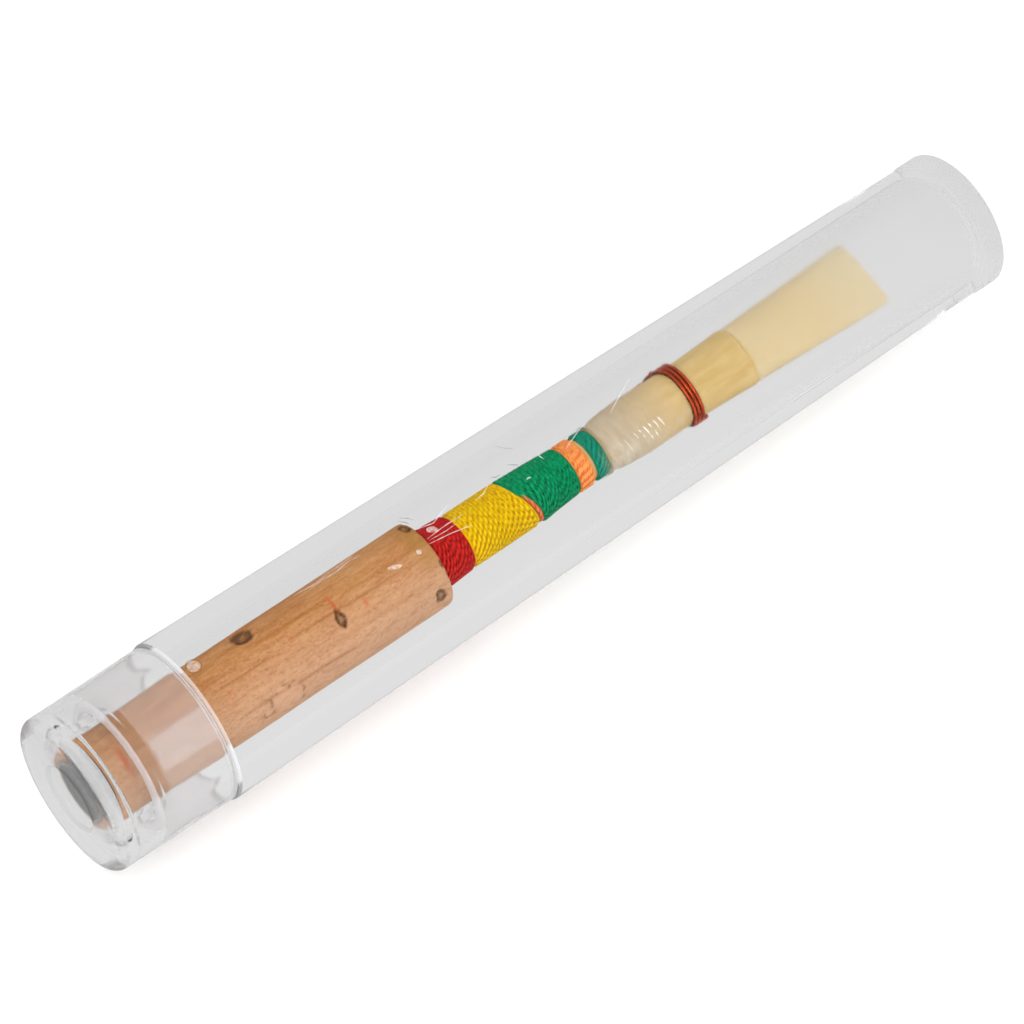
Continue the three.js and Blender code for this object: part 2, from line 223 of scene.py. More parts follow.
def arc(station, radius, size, start, end, steps=ROUND_STEPS):
    """Points of a fillet in the outline of a turned piece."""
    return [
        (station + size * math.cos(a), radius + size * math.sin(a))
        for a in (mix(start, end, i / steps) for i in range(steps + 1))
    ]


def turned_piece(name, outline):
    """A piece turned round the case's axis, from (station, radius) points between two poles."""
    rings = []
    for station, radius in outline:
        angles = angles_round(CASE_SEGMENTS if radius > 0 else 1)
        rings.append([case_point(station, radius, angle) for angle in angles])
    return mesh_piece(name, *skin(rings))


# ---- the clear case


def make_cap():
    end_radius = CAP_RADIUS - CAP_DRAFT
    socket_rim = CAP_END_WALL + SOCKET_DEPTH
    fillet = CAP_END_WALL + CAP_FILLET
    half_turn = math.pi
    quarter = math.pi / 2
    outline = [
        (RECESS_DEPTH, 0),
        *arc(
            RECESS_DEPTH - RECESS_FILLET,
            RECESS_RADIUS - RECESS_SLOPE - RECESS_FILLET,
            RECESS_FILLET, 0, quarter, 3,
        ),
        (RECESS_EDGE_DEPTH, RECESS_RADIUS - RECESS_EDGE),
        (0, RECESS_RADIUS + RECESS_EDGE),
        *arc(CAP_CORNER, end_radius - CAP_CORNER, CAP_CORNER, half_turn, quarter, 10),
        *arc(CAP_LENGTH - CAP_RIM_ROUND, CAP_RADIUS - CAP_RIM_ROUND, CAP_RIM_ROUND, quarter, 0, 5),
        (CAP_LENGTH, SKIRT_BORE + SKIRT_LEAD_IN),
        (CAP_LENGTH - SKIRT_LEAD_IN, SKIRT_BORE),
        (NECK_MOUTH + NECK_LIP, SKIRT_BORE),
        (fillet, SKIRT_BORE),
        *arc(fillet, SKIRT_BORE - CAP_FILLET, CAP_FILLET, quarter, half_turn, 4)[1:],
        *arc(fillet, SOCKET_RADIUS + CAP_FILLET, CAP_FILLET, half_turn, 3 * quarter, 4),
        *arc(socket_rim - SOCKET_ROUND, SOCKET_RADIUS - SOCKET_ROUND, SOCKET_ROUND, quarter, 0, 4),
        (socket_rim, SOCKET_BORE + SOCKET_LEAD_IN),
        (socket_rim - SOCKET_LEAD_IN, SOCKET_BORE),
        (CAP_END_WALL, SOCKET_BORE),
        (CAP_END_WALL, 0),
    ]
    return turned_piece("cap_clear", outline)


def tube_radius(station):
    """The tube's outer radius, which its draft takes down from the shoulder to the closed end."""
    share = (station - SHOULDER) / (CASE_LENGTH - SHOULDER)
    return mix(TUBE_RADIUS, TUBE_RADIUS - TUBE_DRAFT, share)


def make_tube():
    quarter = math.pi / 2
    half_turn = math.pi
    foot = TUBE_RADIUS - TUBE_DRAFT + FOOT_PROUD
    foot_start = CASE_LENGTH - FOOT_WIDTH
    run_out = foot_start - FOOT_RUN_OUT
    run_out_middle = foot_start - FOOT_RUN_OUT / 2
    shoulder_top = SHOULDER + SHOULDER_ROUND
    neck_edge = NECK_MOUTH + NECK_LIP
    bead = NECK_MOUTH + BEAD_SETBACK
    bore_end = CASE_LENGTH - TUBE_END_WALL
    bore_end_radius = BORE_RADIUS - BORE_DRAFT
    body = [mix(run_out, shoulder_top, i / 24) for i in range(25)]
    outline = [
        (CASE_LENGTH, 0),
        (CASE_LENGTH, foot / 2),
        *arc(CASE_LENGTH - FOOT_CORNER, foot - FOOT_CORNER, FOOT_CORNER, 0, quarter, 6),
        (foot_start, foot),
        (run_out_middle, tube_radius(run_out_middle) + FOOT_PROUD * 0.4),
        *((station, tube_radius(station)) for station in body),
        *arc(shoulder_top, TUBE_RADIUS - SHOULDER_ROUND, SHOULDER_ROUND, quarter, half_turn, 5)[1:],
        (SHOULDER, NECK_RADIUS + NECK_FILLET),
        (SHOULDER - NECK_FILLET, NECK_RADIUS),
        *(
            (bead + BEAD_WIDTH * (0.5 + 0.5 * math.cos(a)), NECK_RADIUS + BEAD_HEIGHT * math.sin(a))
            for a in (math.pi * i / 8 for i in range(9))
        ),
        *arc(neck_edge, NECK_RADIUS - NECK_LIP, NECK_LIP, quarter, half_turn, 6),
        *arc(neck_edge, BORE_RADIUS + NECK_LIP, NECK_LIP, half_turn, 3 * quarter, 6),
        (SHOULDER, BORE_RADIUS - BORE_DRAFT * SHOULDER / CASE_LENGTH),
        *arc(bore_end - BORE_FILLET, bore_end_radius - BORE_FILLET, BORE_FILLET, quarter, 0, 12),
        (bore_end, 0),
    ]
    return turned_piece("tube_clear", outline)


# ---- the reed


def reed_place(station, radius, angle):
    return reed_point(station, radius * math.sin(angle), radius * math.cos(angle))


def staple_oval(station, inset=0.0):
    """The staple's half width and half height at a station, or those of an oval inset in it."""
    share = clamp((station - REED_START) / STAPLE_LENGTH)
    return (
        mix(STAPLE_END_RADIUS, STAPLE_TOP[0], share) - inset,
        mix(STAPLE_END_RADIUS, STAPLE_TOP[1], share) - inset,
    )


def oval_ring(station, oval, count=OVAL_SEGMENTS):
    return [
        reed_point(station, oval[0] * math.sin(angle), oval[1] * math.cos(angle))
        for angle in angles_round(count)
    ]


def make_staple():
    top = REED_START + STAPLE_LENGTH
    stations = [mix(REED_START, top, i / 60) for i in range(61)]
    outer = [oval_ring(x, staple_oval(x)) for x in stations]
    inner = [oval_ring(x, staple_oval(x, STAPLE_WALL)) for x in reversed(stations)]
    lip = [oval_ring(REED_START - STAPLE_LIP, staple_oval(REED_START, STAPLE_WALL / 2))]
    return mesh_piece("staple_tube", *skin(outer + inner + lip, closed_lengthways=True))


# Pits of the cork: station, angle in degrees from the reed's top towards +Y, half length, half
# width and depth
CORK_PITS = (
    (16.72, 37, 0.85, 0.8, 0.14),
    (18.1, 61, 0.4, 0.25, 0.03),
    (23.4, -16.7, 0.4, 0.66, 0.13),
    (31.95, 40, 0.32, 0.7, 0.1),
    (32.3, 52, 0.2, 0.3, 0.06),
    (31.33, -64, 0.45, 0.6, 0.11),
    (32.4, -28, 0.22, 0.35, 0.08),
    (32.42, -42, 0.16, 0.3, 0.06),
    (32.42, 20, 0.14, 0.25, 0.05),
    (9.0, 150, 0.5, 0.5, 0.12),
    (19.0, -150, 0.7, 0.4, 0.14),
    (27.0, 110, 0.4, 0.6, 0.12),
    (29.5, 178, 0.6, 0.4, 0.12),
)
# Dark grain: first and last station, angle in degrees at each, half width in degrees, depth of tone
CORK_STREAKS = (
    (11.5, 18.8, -8.5, -9, 1.2, 0.7),
    (18.2, 32.4, -3, -11, 1.2, 0.6),
    (12.8, 25, -48, -57, 1.6, 0.65),
    (14.8, 25, 17, 10.5, 1.6, 0.45),
    (24, 32, 8, 3, 1.2, 0.35),
    (20, 32, -36, -40, 2.0, 0.3),
    (14, 22, 30, 27, 1.8, 0.3),
    (3, 12, -12, -9, 1.6, 0.5),
    (3, 11, -34, -38, 1.6, 0.45),
    (3.5, 12, 14, 17, 1.8, 0.4),
    (6, 28, 60, 58, 2.6, 0.4),
    (5, 30, 96, 93, 3.0, 0.5),
    (8, 26, 140, 142, 2.4, 0.5),
    (4, 30, -110, -106, 2.8, 0.5),
    (9, 32, -150, -148, 2.6, 0.4),
)
# Small reddish marks: station, angle in degrees, half length, half width and depth of tone
CORK_BLUSHES = (
    (23.5, 3, 0.13, 0.75, 0.8),
    (25.7, -17, 0.16, 0.28, 0.6),
    (13.2, -17, 0.16, 0.16, 0.5),
    (19.3, -4, 0.2, 0.12, 0.4),
    (3.95, -14, 0.22, 1.1, 0.8),
    (21.2, -44, 0.12, 0.16, 0.35),
    (28.6, -30, 0.14, 0.12, 0.3),
)
# A pale flake: station, angle in degrees, half length and half width
CORK_FLAKE = (16.9, -63, 1.75, 1.1)


def cork_radius(station):
    return mix(CORK_END_RADIUS, CORK_RADIUS, clamp((station - CORK_START) / CORK_TAPER))


def turn_between(angle, degrees):
    """The shorter turn from an angle in degrees to one in radians, in radians."""
    return math.remainder(angle - math.radians(degrees), 2 * math.pi)


def cork_mark(x, angle, radius):
    """How deep and how dark the cork is pitted at a place, and how dark and red its grain is."""
    wobble = 0.35 * noise.noise(Vector((x * 1.9, angle * 5, 4)))
    wobble += 0.2 * noise.noise(Vector((x * 6, angle * 17, 2)))
    depth = dark = grain = blush = 0.0
    for station, degrees, half_length, half_width, pit in CORK_PITS:
        along = (x - station) / half_length
        if abs(along) < 1.6:
            reach = math.hypot(along, radius * turn_between(angle, degrees) / half_width) + wobble
            depth = max(depth, pit * smooth(1.2, 0.75, reach))
            paler_middle = 0.5 + 0.5 * smooth(0.15, 0.7, reach)
            dark = max(dark, smooth(1.2, 0.85, reach) * paler_middle * min(1, pit / 0.09))
    for start, end, first, last, half_width, tone in CORK_STREAKS:
        if start < x < end:
            drift = 1.2 * noise.noise(Vector((x * 0.4, first, 0)))
            middle = mix(first, last, (x - start) / (end - start)) + drift
            across = math.degrees(turn_between(angle, middle)) / (half_width * 1.5)
            fading = smooth(start, start + 2.5, x) * smooth(end, end - 2.5, x)
            grain = max(grain, tone * fading * math.exp(-across * across))
    for station, degrees, half_length, half_width, tone in CORK_BLUSHES:
        along = (x - station) / half_length
        if abs(along) < 2.2:
            across = radius * turn_between(angle, degrees) / half_width
            blush = max(blush, tone * math.exp(-along * along - across * across))
    return depth, dark, grain, blush


def cork_flake(x, angle, radius):
    """Where the pale flake lies, and its broken dark outline."""
    station, degrees, half_length, half_width = CORK_FLAKE
    along = (x - station) / half_length
    across = radius * turn_between(angle, degrees) / half_width
    reach = math.hypot(along, across) + 0.5 * noise.noise(Vector((x * 1.3, angle * 5, 9)))
    broken = smooth(-0.1, 0.2, noise.noise(Vector((x * 2.2, angle * 9, 3))))
    return smooth(1.0, 0.8, reach), broken * math.exp(-(((reach - 0.95) / 0.12) ** 2))


def make_cork():
    length = CORK_END - CORK_START
    rows, columns = 250, 190
    rings = []
    tones = {"pit": [], "grain": [], "blush": [], "flake": []}
    for k in range(rows + 1):
        x = CORK_START + length * k / rows
        edge = min(x - CORK_START, CORK_END - x)
        chamfer = CORK_TOP_CHAMFER if x - CORK_START > length / 2 else CORK_CHAMFER
        drop = chamfer * (1 - math.sqrt(clamp(edge / chamfer) * (2 - clamp(edge / chamfer))))
        crumbled = CORK_CRUMBLE * (1 - clamp(edge / CORK_CRUMBLE_REACH))
        radius = cork_radius(x)
        ring = []
        for angle in angles_round(columns):
            around = Vector((x * 0.35, radius * math.sin(angle), radius * math.cos(angle)))
            wave = CORK_WAVE * noise.noise(around * 0.9)
            wave += CORK_RIPPLE * noise.noise(around * 3.1 + Vector((7, 3, 1)))
            crumble = crumbled * max(0, noise.noise(around * 2.4))
            depth, dark, grain, blush = cork_mark(x, angle, radius)
            flake, outline = cork_flake(x, angle, radius)
            ring.append(reed_place(x, radius - drop + wave - crumble - depth, angle))
            for name, value in zip(tones, (max(dark, 0.6 * outline), grain, blush, flake)):
                tones[name].append(value)
        rings.append(ring)
    inner = []
    for x in (CORK_END, CORK_START):
        bore = staple_oval(x)[0] + CORK_BORE_GAP
        inner.append([reed_place(x, bore, angle) for angle in angles_round(columns)])
    piece = mesh_piece("cork_body", *skin(rings + inner, closed_lengthways=True))
    for name, values in tones.items():
        values += [0.0] * (2 * columns)
        piece.data.attributes.new(name, "FLOAT", "POINT").data.foreach_set("value", values)
    return piece


# Shares along the blade: (station, half width, half height, wall), as in the solids
BLADE_SHARES = (
    (0.04, 0.666, 0.87, 0.62),
    (0.094, 0.721, 0.948, 0.83),
    (0.148, 0.748, 0.994, 0.96),
    (0.31, 0.754, 1.0, 1.0),
    (0.436, 0.793, 0.96, 1.0),
    (0.56, 0.855, 0.86, 0.9),
    (0.753, 0.931, 0.606, 0.74),
    (0.908, 0.993, 0.354, 0.43),
    (0.985, 1.0, 0.24, 0.28),
    (1.0, 0.935, 0.223, 0.26),
)
TAIL_WALLS = (0.12, 0.28)
GLUE_LINE = 0.03
BLADE_SEAM = 0.04
EDGE_WALL_SHARE = 1.1
STAPLE_END = REED_START + STAPLE_LENGTH
TIP = STAPLE_END + BLADE_LENGTH
BARK_LINE = mix(STAPLE_END, TIP, BARK_LINE_SHARE)
WIRE_RADIUS = 0.165
WIRE_MIDDLE = mix(STAPLE_END, TIP, 0.309)


def tie_row():
    wall = TAIL_WALLS[1] - BARK
    top = staple_oval(STAPLE_END)
    return (
        0.0,
        (top[0] + GLUE_LINE + wall) / BLADE_HALF_WIDTH,
        (top[1] + GLUE_LINE + wall) / BLADE_HALF_HEIGHT,
        wall / CANE_WALL,
    )


def blade_share(share, column):
    rows = (tie_row(),) + BLADE_SHARES
    k = 1
    while k < len(rows) - 1 and rows[k][0] < share - 1e-6:
        k += 1

    def slope(i):
        before, after = rows[max(0, i - 1)], rows[min(len(rows) - 1, i + 1)]
        return (after[column] - before[column]) / (after[0] - before[0])

    low, high = rows[k - 1], rows[k]
    span = high[0] - low[0]
    t = clamp((share - low[0]) / span)
    return (
        (1 + 2 * t) * (1 - t) ** 2 * low[column]
        + t * (1 - t) ** 2 * span * slope(k - 1)
        + t * t * (3 - 2 * t) * high[column]
        + t * t * (t - 1) * span * slope(k)
    )


def cane_ovals(station, bark=BARK):
    """The cane's inner and outer half width and half height at a station."""
    if station <= STAPLE_END:
        seat = [v + GLUE_LINE for v in staple_oval(station)]
        share = clamp((station - TAIL_START) / (STAPLE_END - TAIL_START))
        wall = mix(*TAIL_WALLS, share)
        return seat, [v + wall for v in seat]
    share = (station - STAPLE_END) / BLADE_LENGTH
    wall = blade_share(share, 3) * CANE_WALL
    width = blade_share(share, 1) * BLADE_HALF_WIDTH
    height = blade_share(share, 2) * BLADE_HALF_HEIGHT
    return (width - wall * EDGE_WALL_SHARE, height - wall), (width + bark, height + bark)


def make_blade(name, side):
    """One blade: side is 1 for the upper and -1 for the lower."""
    half, rows, tip_rows = 56, 170, 10
    tip_start = TIP - TIP_ROUND
    stations = [mix(TAIL_START, tip_start, i / rows) for i in range(rows + 1)]
    quarters = [math.pi / 2 * i / tip_rows for i in range(1, tip_rows + 1)]
    stations += [tip_start + TIP_ROUND * math.sin(angle) for angle in quarters]
    rings = []
    for x in stations:
        outer_ring, inner_ring = [], []
        for i in range(half + 1):
            angle = math.pi * i / half
            bow = BARK_LINE_BOW * math.cos(angle) ** 2
            bark = BARK * (1 - smooth(BARK_LINE - BARK_STEP[0], BARK_LINE + BARK_STEP[1], x + bow))
            (in_width, in_height), (out_width, out_height) = cane_ovals(x, bark)
            grain = CANE_GRAIN * noise.noise(Vector((x * 0.25, angle * 22, 3 * side)))
            if x > TIP - TIP_REACH:
                grain *= TIP_GRAIN_SHARE
            out_up = BLADE_SEAM / 2 + (out_height + grain) * math.sin(angle)
            in_up = BLADE_SEAM / 2 + in_height * math.sin(angle)
            outer_ring.append(reed_point(x, side * out_width * math.cos(angle), side * out_up))
            inner_ring.append(reed_point(x, side * in_width * math.cos(angle), side * in_up))
        rings.append(outer_ring + inner_ring[::-1])
    points, faces = skin(rings)
    count = len(rings[0])
    last = len(points) - count
    for i in range(half):
        faces.append((i, i + 1, count - 2 - i, count - 1 - i))
        faces.append((last + i, last + i + 1, last + count - 2 - i, last + count - 1 - i))
    return mesh_piece(name, points, faces, 50)


# ---- materials


def new_node(nodes, links, kind, inputs=(), **settings):
    """A node with its settings, each of its inputs joined to a socket or given a value."""
    made = nodes.new(kind)
    for name, value in settings.items():
        setattr(made, name, value)
    for key, value in dict(inputs).items():
        if isinstance(value, bpy.types.NodeSocket):
            links.new(value, made.inputs[key])
        else:
            made.inputs[key].default_value = value
    return made


def range_values(value, low, high, to_low, to_high):
    """The inputs of a node that carries a value from one range to another."""
    return {"Value": value, "From Min": low, "From Max": high, "To Min": to_low, "To Max": to_high}


class Finish:
    """A named material and its node tree, built step by step."""

    def __init__(self, name):
        self.material = bpy.data.materials.new(name)
        self.material.use_nodes = True
        self.nodes = self.material.node_tree.nodes
        self.links = self.material.node_tree.links
        self.shader = self.nodes["Principled BSDF"]

    def set(self, **inputs):
        """Sets the shader's own sockets."""
        for name, value in inputs.items():
            self.shader.inputs[name.replace("_", " ")].default_value = value

    def join(self, **sources):
        """Joins sources to the shader's own sockets."""
        for name, source in sources.items():
            self.links.new(source, self.shader.inputs[name.replace("_", " ")])

    def node(self, kind, inputs=(), **settings):
        return new_node(self.nodes, self.links, kind, inputs, **settings)

    def reed_coordinates(self, scale=(1, 1, 1)):
        """Object coordinates in millimetres along, across and up the reed, times a scale."""
        placed = self.node(
            "ShaderNodeMapping",
            {
                "Vector": self.node("ShaderNodeTexCoord").outputs["Object"],
                "Location": case_point(SOCKET_MIDDLE, 0, 0),
                "Rotation": REED_TURN,
                "Scale": (MM, MM, MM),
            },
            vector_type="TEXTURE",
        ).outputs[0]
        start = (SOCKET_MIDDLE * scale[0], 0, 0)
        scaled = {"Vector": placed, "Location": start, "Scale": scale}
        return self.node("ShaderNodeMapping", scaled).outputs[0]

    def along_across(self):
        """How far along and across the reed a point lies, in millimetres."""
        return self.node("ShaderNodeSeparateXYZ", {0: self.reed_coordinates()}).outputs[:2]

    def noise(self, scale, detail, roughness, distortion=0.0, stretch=(1, 1, 1)):
        """Noise on the reed's own coordinates, stretched along the axes whose share is below 1."""
        values = {
            "Vector": self.reed_coordinates(stretch),
            "Scale": scale,
            "Detail": detail,
            "Roughness": roughness,
            "Distortion": distortion,
        }
        return self.node("ShaderNodeTexNoise", values).outputs["Fac"]

    def painted(self, attribute):
        """A level that the piece itself carries."""
        return self.node("ShaderNodeAttribute", attribute_name=attribute).outputs["Fac"]

    def math(self, operation, a, b=0.0):
        return self.node("ShaderNodeMath", {0: a, 1: b}, operation=operation).outputs[0]

    def times(self, first, *others):
        product = first
        for other in others:
            product = self.math("MULTIPLY", product, other)
        return product

    def range(self, value, low, high, to_low=0.0, to_high=1.0):
        """The value carried from one range to another, and held at its ends."""
        values = range_values(value, low, high, to_low, to_high)
        return self.node("ShaderNodeMapRange", values).outputs[0]

    def blend(self, share, first, second):
        """The first colour turned into the second by a share. Each is a socket or written."""
        first, second = (colour(v) if isinstance(v, str) else v for v in (first, second))
        values = {0: share, 6: first, 7: second}
        return self.node("ShaderNodeMix", values, data_type="RGBA").outputs[2]

    def bump(self, height, distance, strength):
        values = {"Height": height, "Distance": distance, "Strength": strength}
        self.join(Normal=self.node("ShaderNodeBump", values).outputs[0])


def colour(text):
    """A colour as written in a picture, #rrggbb, as the linear values that a shader takes."""
    values = [int(text[i : i + 2], 16) / 255 for i in (1, 3, 5)]
    linear = [v / 12.92 if v <= 0.04045 else ((v + 0.055) / 1.055) ** 2.4 for v in values]
    return (*linear, 1)


CLEAR_TINT = (0.985, 0.985, 0.985)
# Stations between which the tube's bore grows duller, towards the closed end
BORE_DULLING = (40, 76)
# The neck: stations at which its haze sets in, and those of a painted reflection, a paler patch
# that lies on the side which faces this way
NECK_HAZE = (5.2, 5.4)
NECK_PAINTED_REFLECTION = (5.3, 5.6)
NECK_REFLECTION_FACING = (0, -0.438, 0.899)
# Stations between which the cork turns ochre towards its top
CORK_OCHRE = (30.6, 31.4)
# How far before the tip the cane grows paler, partly its own colour and partly painted light
# through the thin cane
CANE_TIP_FADE = 7.0
# The film: its painted highlights, white glints along creases, by station from none to all and
# back, and how far apart they are, where it warms and where its haze thins towards the wire
FILM_CREASE_HIGHLIGHTS = (49.0, 52.2, 54.2, 54.9)
FILM_CREASE_PITCH = 0.47
FILM_WARMING = (51, 55)
FILM_THINNING = (50.5, 56.2)
# Plies of the yarn: how many pass in a millimetre of thread, and how many lie round it
PLIES_ALONG = 1.62
PLIES_AROUND = 2.0


def clear_plastic(name, ior, roughness, far_roughness=0.0, alpha=1.0, milk=0.0, tint=CLEAR_TINT):
    """Clear moulded plastic, more or less milky. It may be duller towards the closed end."""
    f = Finish(name)
    f.set(Base_Color=(*tint, 1), IOR=ior, Transmission_Weight=1.0 - milk, Alpha=alpha)
    if far_roughness:
        level = f.range(f.along_across()[0], *BORE_DULLING, roughness, far_roughness)
    else:
        level = f.times(f.range(f.noise(0.3, 2, 0.5), 0.3, 0.7, 0.92, 1.08), roughness)
    f.join(Roughness=level)
    return f.material


def neck_finish():
    """The tube's neck, hazy where the cap covers it, with a painted reflection: a paler patch
    along one side.
    """
    f = Finish("clear_neck")
    f.set(Base_Color=(0.95, 0.93, 0.95, 1), Roughness=0.4, IOR=1.02, Transmission_Weight=0.5)
    along = f.along_across()[0]
    towards = {0: f.reed_coordinates(), 1: NECK_REFLECTION_FACING}
    facing = f.node("ShaderNodeVectorMath", towards, operation="DOT_PRODUCT").outputs["Value"]
    # Painted reflection: a paler patch along one side of the neck
    patch = f.times(
        f.range(facing, NECK_RADIUS * 0.95, NECK_RADIUS * 0.985),
        f.range(along, *NECK_PAINTED_REFLECTION),
        f.range(f.noise(2.0, 3, 0.6), 0.3, 0.7, 0.85, 1.1),
    )
    haze = f.range(along, *NECK_HAZE, 0.16, 0.32)
    f.join(Alpha=f.math("MAXIMUM", f.range(patch, 0, 1, 0, 0.78), haze))
    return f.material


def cork_finish():
    """Cork: broad tones, streaks and fine grain along it, and its pits, flake and reddish marks,
    with painted light: paler and pinker towards its front side.
    """
    f = Finish("cork")
    along, across = f.along_across()
    broad = f.noise(1.1, 4, 0.6, 0.4, (0.12, 1, 1))
    streaks = f.noise(3.2, 4, 0.65, 0.3, (0.22, 1, 1))
    fine = f.noise(6.0, 4, 0.7, stretch=(0.6, 1, 1))
    ochre = f.times(f.range(along, *CORK_OCHRE, 0, 0.45), f.range(across, -2.2, -0.8))
    tone = f.blend(f.range(broad, 0.36, 0.66), "#b97a45", "#ca915a")
    for share, shade in (
        # Painted light: paler and pinker towards the front side, where light falls
        (f.range(across, 0.6, -3.2, 0, 0.85), "#d2a686"),
        (f.range(streaks, 0.52, 0.68, 0, 0.36), "#a0602c"),
        (f.range(streaks, 0.46, 0.3, 0, 0.36), "#dcae80"),
        (f.range(fine, 0.53, 0.68, 0, 0.42), "#8c5028"),
        (f.range(fine, 0.45, 0.3, 0, 0.35), "#e4ba8e"),
        (ochre, "#a87c38"),
    ):
        tone = f.blend(share, tone, shade)
    for mark, shade, strength in (
        ("grain", "#9a5c26", f.range(fine, 0.3, 0.6, 0.5, 0.95)),
        ("flake", "#e0b090", f.range(fine, 0.35, 0.6, 0.0, 0.6)),
        ("blush", "#cc4e1c", 1.0),
        ("pit", "#4e2c12", f.range(fine, 0.35, 0.6, 0.65, 1)),
    ):
        tone = f.blend(f.times(f.painted(mark), strength), tone, shade)
    f.join(Base_Color=tone)
    f.set(Roughness=0.85, IOR=1.3)
    f.bump(fine, 0.05 * MM, 0.6)
    return f.material


def cane_finish():
    """Cane: bark up to the bowed line where it is scraped, and the paler heart beyond it."""
    f = Finish("cane")
    along, across = f.along_across()
    fibre = f.noise(9.0, 4, 0.65, stretch=(0.06, 1, 1))
    coarse = f.noise(1.4, 3, 0.6, stretch=(0.3, 1, 1))
    bow = f.times(f.math("POWER", f.math("DIVIDE", across, 2.6), 2.0), BARK_LINE_BOW)
    scraped = f.range(f.math("ADD", along, bow), BARK_LINE - 0.12, BARK_LINE)
    bark = f.blend(f.range(coarse, 0.35, 0.7), "#cdab68", "#dabd80")
    heart = f.blend(f.range(fibre, 0.35, 0.7), "#d6bd8c", "#decca4")
    tone = f.blend(scraped, bark, heart)
    # Paler towards the tip: partly the thin cane's own colour, partly painted light through it
    tone = f.blend(f.range(along, TIP - CANE_TIP_FADE, TIP, 0, 0.5), tone, "#d8ceb3")
    f.join(Base_Color=f.blend(f.range(fibre, 0.6, 0.8, 0, 0.4), tone, "#a48450"))
    f.set(Roughness=0.45)
    f.bump(fibre, 0.02 * MM, 0.5)
    return f.material


def metal_finish(name, shades, roughness, metallic=1.0, flank_shade=None):
    """Metal between two shades, with painted shade on its flanks, between neighbouring turns, if
    a colour for it is given.
    """
    f = Finish(name)
    wear = f.noise(3.0, 4, 0.6)
    tone = f.blend(f.range(wear, 0.3, 0.7), *shades)
    # Painted shade on the flanks, which face the neighbouring turns along the axis
    if flank_shade:
        normal = f.node("ShaderNodeNewGeometry").outputs["Normal"]
        facing = f.math("ABSOLUTE", f.node("ShaderNodeSeparateXYZ", {0: normal}).outputs[0])
        tone = f.blend(f.range(facing, 0.55, 0.95, 0, 0.9), tone, flank_shade)
    f.join(Base_Color=tone, Roughness=f.range(wear, 0.3, 0.7, roughness - 0.06, roughness + 0.08))
    f.set(Metallic=metallic)
    return f.material


def thread_finish(name, low, high):
    """Twisted yarn: plies slant across the thread by its own length and its own round. Their
    contrast grows towards the front side, in colour as painted highlights and shade.
    """
    f = Finish(name)
    along, around = (f.painted(name) for name in ("along", "around"))
    turn = f.math("SUBTRACT", f.times(along, PLIES_ALONG), f.times(around, PLIES_AROUND))
    ply = f.math("SINE", f.times(turn, 2 * math.pi))
    fuzz = f.noise(4.0, 4, 0.7)
    # Painted highlights and shade: the plies' contrast grows towards the front side
    ply_highlights = f.range(f.math("ADD", f.along_across()[1], f.times(fuzz, 3)), 2.5, -0.2, 0.06, 0.4)
    height = f.math("ADD", f.times(ply, ply_highlights), f.times(fuzz, 1.5))
    f.join(Base_Color=f.blend(f.range(height, 0.35, 1.05), low, high))
    f.set(Roughness=0.7, IOR=1.2)
    f.bump(height, 0.04 * MM, 0.8)
    return f.material


def film_finish():
    """Clear film, drawn tight: hazy over the cane, clear on the thread, with painted highlights:
    white glints on creases and ribs towards its front side.
    """
    f = Finish("clear_film")
    along, across = f.along_across()
    folds = f.noise(1.4, 4, 0.6, stretch=(1, 0.5, 0.5))
    slanting = f.math("ADD", along, f.times(across, 0.3))
    wave = f.math("SINE", f.times(slanting, 2 * math.pi / FILM_CREASE_PITCH))
    begin, full, fade, end = FILM_CREASE_HIGHLIGHTS
    # Painted highlights: white glints along creases on the front side
    crease_glints = f.times(
        f.range(wave, 0.55, 0.95),
        f.range(along, begin, full, 0.35, 1),
        f.range(along, end, fade),
        f.range(across, -2.3, -1.9),
        f.range(across, -0.75, -1.15),
        f.range(f.noise(1.3, 2, 0.5, stretch=(2.6, 0.8, 0.8)), 0.4, 0.56),
    )
    # Painted highlights: whitish glints on ribs towards the front side
    rib_glints = f.times(f.range(across, -0.4, -1.8), f.range(folds, 0.42, 0.6, 0.08, 0.26))
    white = f.math("MAXIMUM", crease_glints, rib_glints)
    warm = f.blend(f.range(along, *FILM_WARMING), "#dccaae", "#f2dfb8")
    haze = f.times(
        f.range(along, STAPLE_END - 0.05, STAPLE_END + 0.15, 0.01, 1),
        f.range(along, *FILM_THINNING, 0.6, 0.06),
        f.range(folds, 0.35, 0.65, 0.9, 1.1),
    )
    glint_alpha = f.times(white, f.range(along, STAPLE_END - 0.9, STAPLE_END), 0.95)
    f.join(Base_Color=f.blend(white, warm, "#fffaf0"), Alpha=f.math("MAXIMUM", haze, glint_alpha))
    f.set(Roughness=0.25, IOR=1.3)
    f.bump(folds, 0.05 * MM, 0.6)
    return f.material


# ---- windings, made by one tree of geometry nodes


# How finely the noise is grained that shifts the turns
WANDER_SCALE = 420.0


